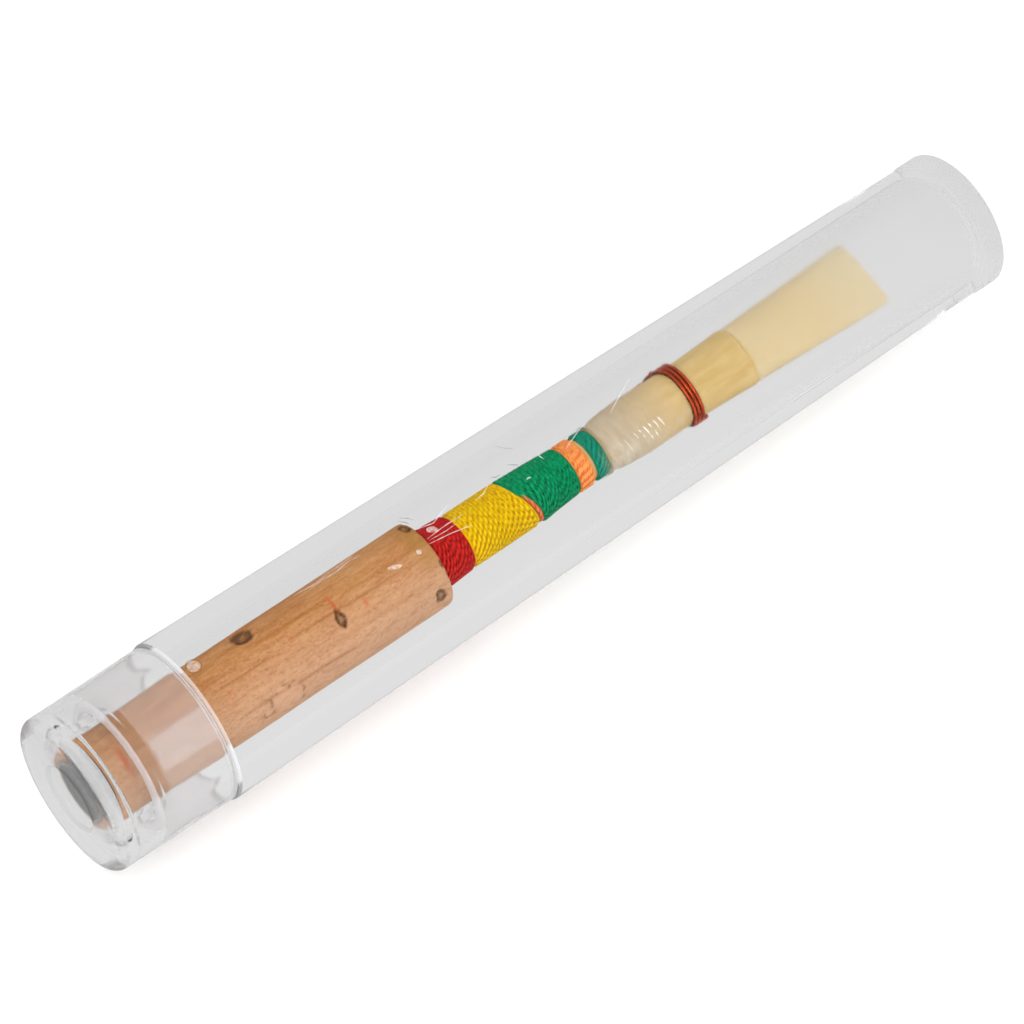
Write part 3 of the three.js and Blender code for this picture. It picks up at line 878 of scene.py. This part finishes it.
def winding_tree():
    """A spiral of thread on an oval, from named sizes, joined to the core that it is wound on."""
    tree = bpy.data.node_groups.new("winding", "GeometryNodeTree")
    face = tree.interface
    face.new_socket("Geometry", in_out="OUTPUT", socket_type="NodeSocketGeometry")
    face.new_socket("Core", in_out="INPUT", socket_type="NodeSocketGeometry")
    sockets = {}
    for kind, names in (
        ("Float", ("Width", "Start radius", "End radius", "Height share", "Turns")),
        ("Float", ("Thread radius", "Unevenness", "Start station", "Start angle")),
        ("Int", ("Steps a turn", "Sides")),
        ("Material", ("Finish",)),
    ):
        for name in names:
            made = face.new_socket(name, in_out="INPUT", socket_type="NodeSocket" + kind)
            sockets[name] = made.identifier

    def add(kind, inputs=(), **settings):
        return new_node(tree.nodes, tree.links, kind, inputs, **settings)

    def store(geometry, name, value):
        inputs = {"Geometry": geometry, "Name": name, "Value": value}
        kind = "GeometryNodeStoreNamedAttribute"
        return add(kind, inputs, data_type="FLOAT", domain="POINT").outputs[0]

    given = add("NodeGroupInput").outputs
    spiral = add(
        "GeometryNodeCurveSpiral",
        {
            "Resolution": given["Steps a turn"],
            "Rotations": given["Turns"],
            "Start Radius": given["Start radius"],
            "End Radius": given["End radius"],
            "Height": given["Width"],
        },
    ).outputs[0]
    spline = add("GeometryNodeSplineParameter").outputs
    length = add("ShaderNodeMath", {0: spline["Length"], 1: MM}, operation="DIVIDE").outputs[0]
    spiral = store(spiral, "along", length)

    # the hand that wound it: each turn lies a little off its place
    wander = add("ShaderNodeTexNoise", {"Scale": WANDER_SCALE}, noise_dimensions="3D")
    values = {0: wander.outputs["Color"], 1: (0.5, 0.5, 0.5)}
    centred = add("ShaderNodeVectorMath", values, operation="SUBTRACT").outputs[0]
    values = {0: centred, "Scale": given["Unevenness"]}
    offset = add("ShaderNodeVectorMath", values, operation="SCALE").outputs[0]
    spiral = add("GeometryNodeSetPosition", {"Geometry": spiral, "Offset": offset}).outputs[0]

    # an oval, turned from the spiral's upright axis onto X, then rolled and leaned with the reed
    turn = add("ShaderNodeCombineXYZ", {"Z": given["Start angle"]}).outputs[0]
    spiral = add("GeometryNodeTransform", {"Geometry": spiral, "Rotation": turn}).outputs[0]
    oval = add("ShaderNodeCombineXYZ", {"X": given["Height share"], "Y": 1.0, "Z": 1.0}).outputs[0]
    start = add("ShaderNodeCombineXYZ", {"X": given["Start station"]}).outputs[0]
    upright_to_x = {"Scale": oval, "Translation": start, "Rotation": (0, math.pi / 2, 0)}
    spiral = add("GeometryNodeTransform", {"Geometry": spiral, **upright_to_x}).outputs[0]
    in_case = {"Translation": case_point(SOCKET_MIDDLE, 0, 0), "Rotation": REED_TURN}
    spiral = add("GeometryNodeTransform", {"Geometry": spiral, **in_case}).outputs[0]

    sizes = {"Resolution": given["Sides"], "Radius": given["Thread radius"]}
    profile = add("GeometryNodeCurvePrimitiveCircle", sizes, mode="RADIUS").outputs[0]
    profile = store(profile, "around", spline["Factor"])
    curves = {"Curve": spiral, "Profile Curve": profile, "Fill Caps": True}
    thread = add("GeometryNodeCurveToMesh", curves).outputs[0]
    thread = add("GeometryNodeSetShadeSmooth", {"Geometry": thread}).outputs[0]
    together = add("GeometryNodeJoinGeometry", {0: thread})
    tree.links.new(given["Core"], together.inputs[0])
    real = add("GeometryNodeRealizeInstances", {0: together.outputs[0]}).outputs[0]
    values = {"Geometry": real, "Material": given["Finish"]}
    add("NodeGroupOutput", {0: add("GeometryNodeSetMaterial", values).outputs[0]})
    return tree, sockets


WINDING, WINDING_SOCKETS = winding_tree()


def settle(piece):
    """Turns a piece's live modifiers into a plain mesh."""
    bpy.context.view_layer.update()
    graph = bpy.context.evaluated_depsgraph_get()
    mesh = bpy.data.meshes.new_from_object(piece.evaluated_get(graph))
    piece.modifiers.clear()
    old, piece.data = piece.data, mesh
    bpy.data.meshes.remove(old)


def wind(core, material, **sizes):
    """Winds thread or wire on a core. Sizes are the tree's inputs, lengths in metres."""
    wrap = core.modifiers.new("winding", "NODES")
    wrap.node_group = WINDING
    for key, value in sizes.items():
        wrap[WINDING_SOCKETS[key.replace("_", " ")]] = value
    wrap[WINDING_SOCKETS["Finish"]] = material
    settle(core)


# The windings: their widths and gaps, from the staple's top towards the cork
TEAL_WIDTH = 1.2
BARE_GAP = 0.3
ORANGE_WIDTH = 1.4
BAND_GAP = 0.04
GREEN_WIDTH = 4.4
CORAL_WIDTH = 0.42
CORAL_SETBACK = 0.06
YELLOW_WIDTH = 5.5
RED_WIDTH = 3.1
TEAL_START = STAPLE_END - TEAL_WIDTH
ORANGE_START = TEAL_START - BARE_GAP - ORANGE_WIDTH
GREEN_START = ORANGE_START - BAND_GAP - GREEN_WIDTH
CORAL_START = GREEN_START - BAND_GAP - CORAL_WIDTH
YELLOW_START = CORAL_START - BAND_GAP - YELLOW_WIDTH
RED_START = YELLOW_START - BAND_GAP - RED_WIDTH
# Where green crosses over from yellow: how far and over what reach the turns are shifted, the side
# on which they are shifted most, how far green reaches over the colour before it on the other side,
# and how softly that sets in
CROSSING = (CORAL_START + GREEN_START) / 2
CROSSING_SHIFT = 0.75
CROSSING_REACH = 1.6
CROSSING_SIDE = math.radians(197)
CROSSING_OVERLAP = 0.6
CROSSING_SOFTNESS = 0.4
# The sleeve under a band: how far it stays off its seat and, in thread radii, below the turns
CORE_GAP = 0.01
CORE_DEPTH = 1.1
CORE_STEPS = 16
CORE_SIDES = 64
# How far the turns of thread and wire wander off their places
UNEVENNESS = 0.03


def band_core(name, start, end, seat, build, depth):
    """The sleeve under a band of thread: seat gives the oval that it is wound on."""
    rings, inner = [], []
    for i in range(CORE_STEPS + 1):
        x = mix(start, end, i / CORE_STEPS)
        oval = seat(x)
        grown = mix(*build, i / CORE_STEPS) - depth
        rings.append(oval_ring(x, [v + grown for v in oval], CORE_SIDES))
        inner.append(oval_ring(x, [v + CORE_GAP for v in oval], CORE_SIDES))
    return mesh_piece(name, *skin(rings + inner[::-1], closed_lengthways=True))


def thread_band(
    name, node, slot_name, start, width, seat, build, shades, turns, thread, angle, overlap=0.0
):
    """One colour of thread. Build is what it adds to the seat's radius, at its start and end."""
    end = start + width
    piece = band_core(name, start, end, seat, build, thread * CORE_DEPTH)
    first, last = seat(start + thread), seat(end - thread)
    radius = (first[0] + build[0] - thread, last[0] + build[1] - thread)
    height = (first[1] + build[0] - thread, last[1] + build[1] - thread)
    wind(
        piece,
        thread_finish(name, *shades),
        Width=(width - 2 * thread) * MM,
        Start_radius=radius[0] * MM,
        End_radius=radius[1] * MM,
        Height_share=(height[0] / radius[0] + height[1] / radius[1]) / 2,
        Turns=float(turns),
        Thread_radius=thread * MM,
        Unevenness=UNEVENNESS * MM,
        Start_station=(start + thread - SOCKET_MIDDLE) * MM,
        Start_angle=angle,
        Steps_a_turn=72,
        Sides=10,
    )
    lay_askew(piece, overlap)
    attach(piece, "reed")
    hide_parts(node)


def lay_askew(piece, overlap):
    """Shifts the turns where green crosses over from yellow: they lie askew round the staple."""
    back = REED_PLACE.inverted()
    for vertex in piece.data.vertices:
        x, across, up = back @ vertex.co / MM
        x += SOCKET_MIDDLE
        side = math.cos(math.atan2(up, across) - CROSSING_SIDE)
        near = math.exp(-(((x - CROSSING) / CROSSING_REACH) ** 2))
        over = overlap * smooth(CROSSING_SOFTNESS, -CROSSING_SOFTNESS, side)
        vertex.co = reed_point(x + (CROSSING_SHIFT * side - over) * near, across, up)
    piece.data.update()


def on_staple(x):
    return [v + GLUE_LINE for v in staple_oval(x)]


def on_cane(x):
    return [v + GLUE_LINE for v in cane_ovals(x)[1]]


def finished(piece, material, body, node):
    """Gives a piece its material and the body that it rides on, and hides the imported part
    that it stands in for.
    """
    piece.data.materials.clear()
    piece.data.materials.append(material)
    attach(piece, body)
    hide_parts(node)


# ---- the clear case, with a plastic of its own for each zone

GREYED = (0.95, 0.95, 0.95)
# A grey tint for the recess's frosted ring, which is painted shade
RECESS_SHADE_TINT = (0.55, 0.55, 0.55)
CLEAR = {
    "outside": clear_plastic("clear_outside", 1.12, 0.08),
    "cap_outside": clear_plastic("clear_cap_outside", 1.12, 0.12, milk=0.05, tint=GREYED),
    "cap_end": clear_plastic("clear_cap_end", 1.16, 0.2, alpha=0.85, milk=0.04, tint=GREYED),
    "cap_bore": clear_plastic("clear_cap_bore", 1.12, 0.1),
    "end_outside": clear_plastic("clear_end_outside", 1.12, 0.25),
    "bore": clear_plastic("clear_bore", 1.13, 0.08, 0.4),
    "neck_bore": clear_plastic("clear_neck_bore", 1.1, 0.1),
    "end_bore": clear_plastic("clear_end_bore", 1.13, 0.3),
    "joint": clear_plastic("clear_joint", 1.02, 0.3, alpha=0.3),
    "neck": neck_finish(),
    "ring": clear_plastic("clear_ring", 1.08, 0.12),
    # The recess's ring: frosted and milky, its grey painted shade
    "recess": clear_plastic("clear_recess", 1.1, 0.2, alpha=0.45, milk=0.6, tint=RECESS_SHADE_TINT),
    "lip": clear_plastic("clear_lip", 1.1, 0.2, milk=0.45, tint=(0.92, 0.9, 0.93)),
    "rim": clear_plastic("clear_rim", 1.12, 0.3, alpha=0.45, milk=0.85, tint=(0.93, 0.93, 0.96)),
}
BEAD_END = NECK_MOUTH + BEAD_SETBACK + BEAD_WIDTH
# Reach of the zones that follow an edge or a wall, and the slack at those that end on one
RECESS_LINE = 0.2
RIM_LINE = 0.16
RING_REACH = 0.25
SKIRT_REACH = 0.06
WALL_REACH = 0.1
FOOT_REACH = 0.3
END_BORE_REACH = BORE_FILLET * 1.2
SLACK = 0.01


def cap_zone(x, r):
    if x < RECESS_DEPTH and abs(r - RECESS_RADIUS) < RECESS_LINE:
        return "recess"
    if x < CAP_END_WALL and r > SKIRT_BORE or x < CAP_CORNER:
        return "cap_end"
    if x > CAP_LENGTH - RIM_LINE:
        return "rim"
    if x > CAP_END_WALL - SLACK and r < SOCKET_RADIUS + RING_REACH:
        return "ring"
    if r < SKIRT_BORE + SKIRT_REACH and x > CAP_END_WALL:
        return "cap_bore" if x < NECK_MOUTH + NECK_LIP else "joint"
    return "cap_outside"


def tube_zone(x, r):
    if x < NECK_MOUTH + NECK_LIP:
        return "lip"
    if SHOULDER - SLACK < x < SHOULDER + SHOULDER_ROUND and r > NECK_RADIUS + WALL_REACH:
        return "rim"
    if x < SHOULDER + SLACK and r > BORE_RADIUS + WALL_REACH:
        return "neck" if x > BEAD_END - WALL_REACH else "joint"
    if x < SHOULDER + SLACK:
        return "neck_bore"
    if r < mix(BORE_RADIUS, BORE_RADIUS - BORE_DRAFT, x / CASE_LENGTH) + WALL_REACH:
        return "end_bore" if x > CASE_LENGTH - TUBE_END_WALL - END_BORE_REACH else "bore"
    return "end_outside" if x > CASE_LENGTH - FOOT_WIDTH - FOOT_REACH else "outside"


def clear_piece(piece, zone, body, node):
    """A piece of the clear case, with a plastic of its own for each zone of (station, radius)."""
    finished(piece, CLEAR["outside"], body, node)
    names = ["outside"]
    for face in piece.data.polygons:
        x, y, z = face.center / MM
        name = zone(x + CASE_LENGTH / 2, math.hypot(y, z - AXIS_HEIGHT))
        if name not in names:
            names.append(name)
            piece.data.materials.append(CLEAR[name])
        face.material_index = names.index(name)


clear_piece(make_cap(), cap_zone, "cap", "case_cap")
clear_piece(make_tube(), tube_zone, "case", "case_tube")

# ---- the reed

grey_metal = metal_finish("staple_metal", ("#8f887c", "#6c665c"), 0.3)
finished(make_staple(), grey_metal, "reed", "staple")
finished(make_cork(), cork_finish(), "reed", "cork_sleeve")
cane = cane_finish()
finished(make_blade("blade_upper_cane", 1), cane, "reed", "upper_blade")
finished(make_blade("blade_lower_cane", -1), cane, "reed", "lower_blade")

# Colour, start, width, seat, build at both ends, dark and light shade, turns, thread radius, angle
# of the first turn, and overlap at the crossing
for name, *band in (
    ("red", RED_START, RED_WIDTH, on_staple, (0.66, 0.55), ("#7c0608", "#de2a24"), 10, 0.15, 0.0),
    ("yellow", YELLOW_START, YELLOW_WIDTH, on_staple, (0.52, 0.65),
     ("#c48400", "#f8d60c"), 18, 0.15, 1.0),
    ("coral", CORAL_START + CORAL_SETBACK, CORAL_WIDTH - CORAL_SETBACK, on_staple, (0.54, 0.54),
     ("#c04a20", "#f09060"), 1.6, 0.11, 2.0),
    ("green", GREEN_START, GREEN_WIDTH, on_cane, (0.54, 0.28),
     ("#004a2c", "#00ac6e"), 15, 0.14, 0.5, CROSSING_OVERLAP),
    ("orange", ORANGE_START, ORANGE_WIDTH, on_cane, (0.3, 0.3),
     ("#e0582a", "#ffb260"), 5, 0.14, 0.2),
    ("teal", TEAL_START, TEAL_WIDTH, on_cane, (0.28, 0.24), ("#005642", "#00a484"), 4.5, 0.13, 0.9),
):
    thread_band(f"{name}_turns", f"{name}_thread", f"{name}_thread", *band)

# The film: how far it stays off what it is wrapped round, how thick it is, what the last windings
# add under it and how far past the staple that runs out, and its folds
FILM_GAP = 0.04
FILM_WALL = 0.06
FILM_START = ORANGE_START + 0.1
FILM_END = WIRE_MIDDLE - 0.75
FILM_OVER_THREAD = 0.31
FILM_RUN_OUT = 0.5
FILM_FOLD = 0.025
FILM_ROWS = 90
FILM_SIDES = 96


def make_film():
    """The clear film: a thin sleeve over the last windings and the foot of the cane."""
    outer, inner = [], []
    for i in range(FILM_ROWS + 1):
        x = mix(FILM_START, FILM_END, i / FILM_ROWS)
        wound = mix(FILM_OVER_THREAD, 0.0, smooth(STAPLE_END, STAPLE_END + FILM_RUN_OUT, x))
        oval = [v + wound + FILM_GAP for v in cane_ovals(x)[1]]
        ring_in, ring_out = [], []
        for angle in angles_round(FILM_SIDES):
            sine, cosine = math.sin(angle), math.cos(angle)
            fold = FILM_FOLD * (noise.noise(Vector((x * 1.7, 1.1 * sine, 1.1 * cosine))) + 0.6)
            for ring, grown in ((ring_in, fold), (ring_out, fold + FILM_WALL)):
                ring.append(reed_point(x, (oval[0] + grown) * sine, (oval[1] + grown) * cosine))
        outer.append(ring_out)
        inner.append(ring_in)
    return mesh_piece("film_wrap", *skin(outer + inner[::-1], closed_lengthways=True))


finished(make_film(), film_finish(), "reed", "binding_film")

# ---- the copper wire: its turns, which lie close, and its two ends twisted together

WIRE_TURNS = 3
WIRE_PITCH = 0.35
WIRE_HALF_WIDTH = WIRE_TURNS * WIRE_PITCH / 2
WIRE_GAP = 0.01
# The turns spread towards the windings where they pass the reed's two edges: (angle, how far)
WIRE_SPREADS = ((75, 0.18), (-107, 0.14))
WIRE_SPREAD_REACH = 0.5

# The copper's last colour is painted shade on the flanks, between its turns
copper = metal_finish("copper_wire", ("#d2501e", "#8c2c10"), 0.25, 0.72, "#2c0c06")
wire_oval = [v + WIRE_RADIUS + WIRE_GAP for v in cane_ovals(WIRE_MIDDLE)[1]]
wire = new_object("wire_turns", bpy.data.meshes.new("wire_turns"))
wind(
    wire,
    copper,
    Width=WIRE_PITCH * WIRE_TURNS * MM,
    Start_radius=wire_oval[0] * MM,
    End_radius=wire_oval[0] * MM,
    Height_share=wire_oval[1] / wire_oval[0],
    Turns=float(WIRE_TURNS),
    Thread_radius=WIRE_RADIUS * MM,
    Unevenness=UNEVENNESS * MM,
    Start_station=(WIRE_MIDDLE - WIRE_HALF_WIDTH - SOCKET_MIDDLE) * MM,
    Start_angle=-math.pi / 2,
    Steps_a_turn=96,
    Sides=14,
)
for vertex in wire.data.vertices:
    x, across, up = REED_PLACE.inverted() @ vertex.co / MM
    x += SOCKET_MIDDLE
    angle = math.atan2(across, up)
    spread = sum(
        size * math.exp(-((turn_between(angle, degrees) / WIRE_SPREAD_REACH) ** 2))
        for degrees, size in WIRE_SPREADS
    )
    x -= spread * (1 - (x - WIRE_MIDDLE) / WIRE_HALF_WIDTH)
    vertex.co = reed_point(x, across, up)
finished(wire, copper, "reed", "binding_wire")

# The twist: its stations from the wire towards the windings, the angles between which it is bent
# over on its way, how far its middle lies off the cane, its half turns and its strands' radius
TWIST_STATIONS = (WIRE_MIDDLE - 0.35, WIRE_MIDDLE - 2.3)
TWIST_ANGLES = (97, 113)
TWIST_OFF = 0.06 + WIRE_RADIUS * 2.0
TWIST_HALF_TURNS = 2.6
TWIST_STRAND = WIRE_RADIUS * 0.96
TWIST_STEPS = 48


def swept(points, radius, sides=12):
    """Rings of a round bar along a path of points, with its two ends closed by points."""
    rings = [[points[0]]]
    normal = Vector((0, 0.3, 1))
    for k, point in enumerate(points):
        ahead = (points[min(k + 1, len(points) - 1)] - points[max(k - 1, 0)]).normalized()
        normal = (normal - ahead * normal.dot(ahead)).normalized()
        side = ahead.cross(normal)
        rings.append([
            point + radius * MM * (math.cos(angle) * normal + math.sin(angle) * side)
            for angle in angles_round(sides)
        ])
    rings.append([points[-1]])
    return rings


def add_part(points, faces, part):
    """Adds a part's own points and faces to those of the piece that it belongs to."""
    more, more_faces = part
    faces.extend(tuple(i + len(points) for i in face) for face in more_faces)
    points.extend(more)


def make_twist():
    """The wire's two ends, twisted together and laid along the cane towards the windings."""
    points, faces = [], []
    for strand in (0, math.pi):
        path = []
        for k in range(TWIST_STEPS + 1):
            share = k / TWIST_STEPS
            x = mix(*TWIST_STATIONS, share)
            lay = math.radians(mix(*TWIST_ANGLES, smooth(0, 0.5, share)))
            turn = strand + share * TWIST_HALF_TURNS * math.pi
            lift, aside = WIRE_RADIUS * math.cos(turn), WIRE_RADIUS * math.sin(turn)
            width, height = (v + TWIST_OFF + lift for v in cane_ovals(x)[1])
            path.append(reed_point(
                x,
                width * math.sin(lay) + aside * math.cos(lay),
                height * math.cos(lay) - aside * math.sin(lay),
            ))
        add_part(points, faces, skin(swept(path, TWIST_STRAND)))
    return mesh_piece("wire_ends", points, faces, 40)


finished(make_twist(), copper, "reed", "wire_twist")

# ---- fine scratches, fibres, smears and a bubble in the tube's surface

# Each a run of (station, angle in degrees from the top towards +Y) and a width
SCRATCHES = (
    (((31.26, -6.2), (32.63, -9.0), (34.45, -3.7)), 0.06),
    (((31.44, -16), (33.18, -14.9), (34.91, -15.1)), 0.06),
    (((31.25, -19.4), (33.28, -21.6), (34.99, -24.6)), 0.05),
    (((31.58, -17.7), (32.99, -18.3), (34.09, -17.9)), 0.035),
    (((36.38, -11.6), (37.18, -10.8), (37.96, -7.1)), 0.05),
    (((40.59, -19), (40.8, -18.6), (41.0, -19.3)), 0.07),
    (((42.57, -8.2), (42.62, -10.4), (42.7, -13.3)), 0.06),
    (((44.56, -16), (45.83, -11.6), (46.94, -7.8)), 0.06),
    (((48.98, -12.9), (50.48, -6), (52.49, 3.1)), 0.05),
    (((20.72, 1.5), (22.46, 0.2), (23.63, 1.1)), 0.04),
    (((21.9, -1), (23.6, -0.4), (25.29, -1)), 0.04),
    (((23.2, 2.5), (24.73, 2), (26.14, 2.9)), 0.04),
    (((24.37, -0.4), (25.56, 0.9), (26.7, -0.1)), 0.04),
    (((18.0, 60.0), (23.0, 66.0), (28.0, 64.0)), 0.04),
    (((44.0, 120.0), (49.0, 126.0), (53.0, 121.0)), 0.04),
    (((60.0, -90.0), (64.0, -84.0), (69.0, -86.0)), 0.035),
)
FIBRES = (
    (((38.5, -3.3), (38.78, -5.6), (39.26, -5.5)), 0.06),
    (((40.2, -2.4), (40.55, -5), (40.83, -6.9)), 0.07),
    (((30.68, 6.7), (31.05, 2.8), (31.22, -0.3)), 0.06),
    (((30.96, 8.4), (31.34, 5.2), (31.7, 0.5)), 0.05),
    (((40.62, 18.6), (41.02, 11), (41.51, 5.8)), 0.03),
)
SMEARS = (
    (((31.85, -10.5), (32.25, -12.5), (32.6, -14.0)), 0.5),
    (((27.6, -18.2), (28.13, -20.2), (28.66, -21.5)), 0.32),
    (((30.16, -19.4), (30.36, -20.3), (30.54, -21.1)), 0.4),
    (((10.9, -2.5), (11.35, -2.5), (11.8, -2.5)), 0.9),
)
# Station, angle, radius and width of its line
BUBBLE = (11.35, -2.5, 0.6, 0.12)
BUBBLE_STEPS = 24


# How far the marks lie off the tube, and the share of their width that is left at their ends
MARK_OFF = 0.004
MARK_END_WIDTH = 0.15
MARK_STEPS = 10


def ribbon(run, width, closed):
    """A flat line on the tube's surface through (station, angle) points, thinning to its ends."""
    path = []
    for a, b in zip(run, run[1:]):
        shares = [i / MARK_STEPS for i in range(MARK_STEPS)]
        path += [(mix(a[0], b[0], share), mix(a[1], b[1], share)) for share in shares]
    path.append(run[-1])
    points, last = [], len(path) - 1
    for k, (x, degrees) in enumerate(path):
        before, after = path[max(0, k - 1)], path[min(last, k + 1)]
        radius = tube_radius(x) + MARK_OFF
        turned = math.radians(after[1] - before[1]) * radius
        ahead = Vector((after[0] - before[0], turned)).normalized()
        half = width / 2
        if not closed:
            half *= mix(MARK_END_WIDTH, 1, math.sqrt(math.sin(math.pi * k / last)))
        for side in (-1, 1):
            angle = math.radians(degrees) + side * half * ahead.x / radius
            points.append(case_point(x - side * half * ahead.y, radius, angle))
    faces = [(2 * k, 2 * k + 1, 2 * k + 3, 2 * k + 2) for k in range(last)]
    return points, faces


def surface_marks(name, runs, material, closed=False):
    """A piece of thin marks on the tube, each a run of points and a width."""
    points, faces = [], []
    for run, width in runs:
        add_part(points, faces, ribbon(run, width, closed))
    piece = mesh_piece(name, points, faces, outwards=False)
    for face in piece.data.polygons:
        middle = face.center
        if face.normal.dot(Vector((0, middle.y, middle.z - AXIS_HEIGHT * MM))) < 0:
            face.flip()
    piece.data.materials.append(material)
    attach(piece, "case")


def mark_finish(name, shade, alpha):
    f = Finish(name)
    f.set(Base_Color=colour(shade), Roughness=0.5)
    f.join(Alpha=f.range(f.noise(4.0, 3, 0.6), 0.3, 0.62, alpha * 0.25, alpha))
    return f.material


surface_marks("tube_scratches", SCRATCHES, mark_finish("scratch_white", "#ffffff", 0.85))
surface_marks("tube_fibres", FIBRES, mark_finish("fibre_dark", "#4c443c", 0.7))
surface_marks("tube_smears", SMEARS, mark_finish("smear_pale", "#fff0ea", 0.5))
station, degrees, reach, line = BUBBLE
ring = []
for i in range(BUBBLE_STEPS + 1):
    a = 2 * math.pi * i / BUBBLE_STEPS
    aside = math.degrees(reach * math.sin(a) / TUBE_RADIUS)
    ring.append((station + reach * math.cos(a), degrees + aside))
surface_marks("tube_bubble", [(ring, line)], mark_finish("bubble_rim", "#8c6a50", 0.5), closed=True)

# ---- stage, light and camera

FLOOR_SIZE = 3.0
FLOOR_LEVEL = -0.00004
# Levels of light, where 1 is white: the floor's own, what shows through the clear case and between
# which places across the floor it changes, what lights the reed, and what the studio's pale walls
# and its overhead dark mirror in gloss
FLOOR_GLOW = 0.3
SEEN_THROUGH = (0.71, 0.79)
SEEN_ACROSS = (0.012, -0.012)
LIGHT = 1.1
LIGHT_FROM_FRONT = 0.5
MIRRORED = (0.8, 0.06)
# Which way the overhead dark lies, and how near to it, as a cosine, its shade and its mirroring are
# without effect and in full
DARK_OVERHEAD = (0.38, -0.46, 0.8)
OVERHEAD_SHADE = 0.7
SHADE_REACH = (0.75, 0.95)
MIRROR_REACH = (0.4, 0.85)
KEY_SIZE = (0.3, 0.2)
KEY_POWER = 0.5
KEY_PLACE = (-0.1, -0.12, 0.35)
CLIP = (0.01, 10)
WHITE = (1, 1, 1, 1)


def rays(nodes, links, kind, operation=None, other=None):
    """1 where the ray is of a kind and, by the operation, of another."""
    path = nodes.new("ShaderNodeLightPath").outputs
    if not operation:
        return path[kind]
    both = {0: path[kind], 1: path[other]}
    return new_node(nodes, links, "ShaderNodeMath", both, operation=operation).outputs[0]


floor_mesh = bpy.data.meshes.new("floor")
corners = ((-1, -1), (1, -1), (1, 1), (-1, 1))
floor_points = [(x * FLOOR_SIZE, y * FLOOR_SIZE, FLOOR_LEVEL) for x, y in corners]
floor_mesh.from_pydata(floor_points, [], [(0, 1, 2, 3)])
floor = new_object("floor", floor_mesh)
pale = Finish("pale_floor")
pale.set(Base_Color=(0.8, 0.8, 0.8, 1), Roughness=0.9)
base = pale.shader.outputs[0]
direct = rays(pale.nodes, pale.links, "Is Camera Ray")
inside = rays(pale.nodes, pale.links, "Is Glossy Ray", "MAXIMUM", "Is Transmission Ray")
glow = pale.node("ShaderNodeEmission", {"Color": WHITE, "Strength": FLOOR_GLOW}).outputs[0]
at = pale.node("ShaderNodeTexCoord").outputs["Object"]
beside = pale.node("ShaderNodeSeparateXYZ", {0: at}).outputs[1]
through = pale.range(beside, *SEEN_ACROSS, *SEEN_THROUGH)
grey = pale.node("ShaderNodeEmission", {"Color": WHITE, "Strength": through}).outputs[0]
straight = pale.node("ShaderNodeAddShader", {0: base, 1: glow}).outputs[0]
outer = pale.node("ShaderNodeMixShader", {0: direct, 1: base, 2: straight}).outputs[0]
total = pale.node("ShaderNodeMixShader", {0: inside, 1: outer, 2: grey}).outputs[0]
pale.links.new(total, pale.nodes["Material Output"].inputs["Surface"])
floor.data.materials.append(pale.material)

scene = bpy.context.scene
world = bpy.data.worlds.new("studio")
scene.world = world
world.use_nodes = True
sky, sky_links = world.node_tree.nodes, world.node_tree.links


def sky_node(kind, inputs, **settings):
    return new_node(sky, sky_links, kind, inputs, **settings).outputs


def towards_overhead(start, end, low, high):
    """A level that changes with the nearness to the overhead dark."""
    return sky_node("ShaderNodeMapRange", range_values(overhead, start, end, low, high))[0]


direction = sky.new("ShaderNodeTexCoord").outputs["Generated"]
front = sky_node("ShaderNodeSeparateXYZ", {0: direction})[1]
values = {0: front, 1: -LIGHT_FROM_FRONT * LIGHT, 2: LIGHT}
level = sky_node("ShaderNodeMath", values, operation="MULTIPLY_ADD")[0]
values = {0: direction, 1: Vector(DARK_OVERHEAD).normalized()}
overhead = sky_node("ShaderNodeVectorMath", values, operation="DOT_PRODUCT")["Value"]
shade = towards_overhead(*SHADE_REACH, 1, 1 - OVERHEAD_SHADE)
shaded = sky_node("ShaderNodeMath", {0: level, 1: shade}, operation="MULTIPLY")[0]
mirrored = towards_overhead(*MIRROR_REACH, *MIRRORED)
glossy = rays(sky, sky_links, "Is Glossy Ray", "GREATER_THAN", "Is Transmission Ray")
lit = sky_node("ShaderNodeMix", {0: glossy, 2: shaded, 3: mirrored})[0]
seen = sky_node("ShaderNodeMix", {0: rays(sky, sky_links, "Is Camera Ray"), 2: lit, 3: 1.0})[0]
sky_links.new(seen, sky["Background"].inputs["Strength"])
sky["Background"].inputs["Color"].default_value = WHITE

key = bpy.data.lights.new("key_softbox", "AREA")
key.shape = "RECTANGLE"
key.size, key.size_y = KEY_SIZE
key.energy = KEY_POWER
lamp = bpy.data.objects.new("key_softbox", key)
scene.collection.objects.link(lamp)
lamp.location = KEY_PLACE
lamp.rotation_euler = (-Vector(KEY_PLACE)).to_track_quat("-Z", "Y").to_euler()

scene.view_settings.view_transform = "Standard"

right = Vector((math.cos(CAMERA_AZIMUTH), math.sin(CAMERA_AZIMUTH), 0))
backward = Vector((
    math.sin(CAMERA_AZIMUTH) * math.cos(CAMERA_ELEVATION),
    -math.cos(CAMERA_AZIMUTH) * math.cos(CAMERA_ELEVATION),
    math.sin(CAMERA_ELEVATION),
))
up = backward.cross(right)
camera = bpy.data.objects.new("camera", bpy.data.cameras.new("camera"))
scene.collection.objects.link(camera)
camera.data.sensor_width = SENSOR
camera.data.lens = FOCAL_PIXELS / FRAME_PIXELS * SENSOR
turned = Matrix((right, up, backward)).transposed()
offset = Vector((FITTED_POINT[0], -FITTED_POINT[1], -FITTED_POINT[2])) * MM
camera.location = case_point(FITTED_STATION, 0, 0) - turned @ offset
camera.rotation_euler = turned.to_euler()
camera.data.clip_start, camera.data.clip_end = CLIP
scene.camera = camera
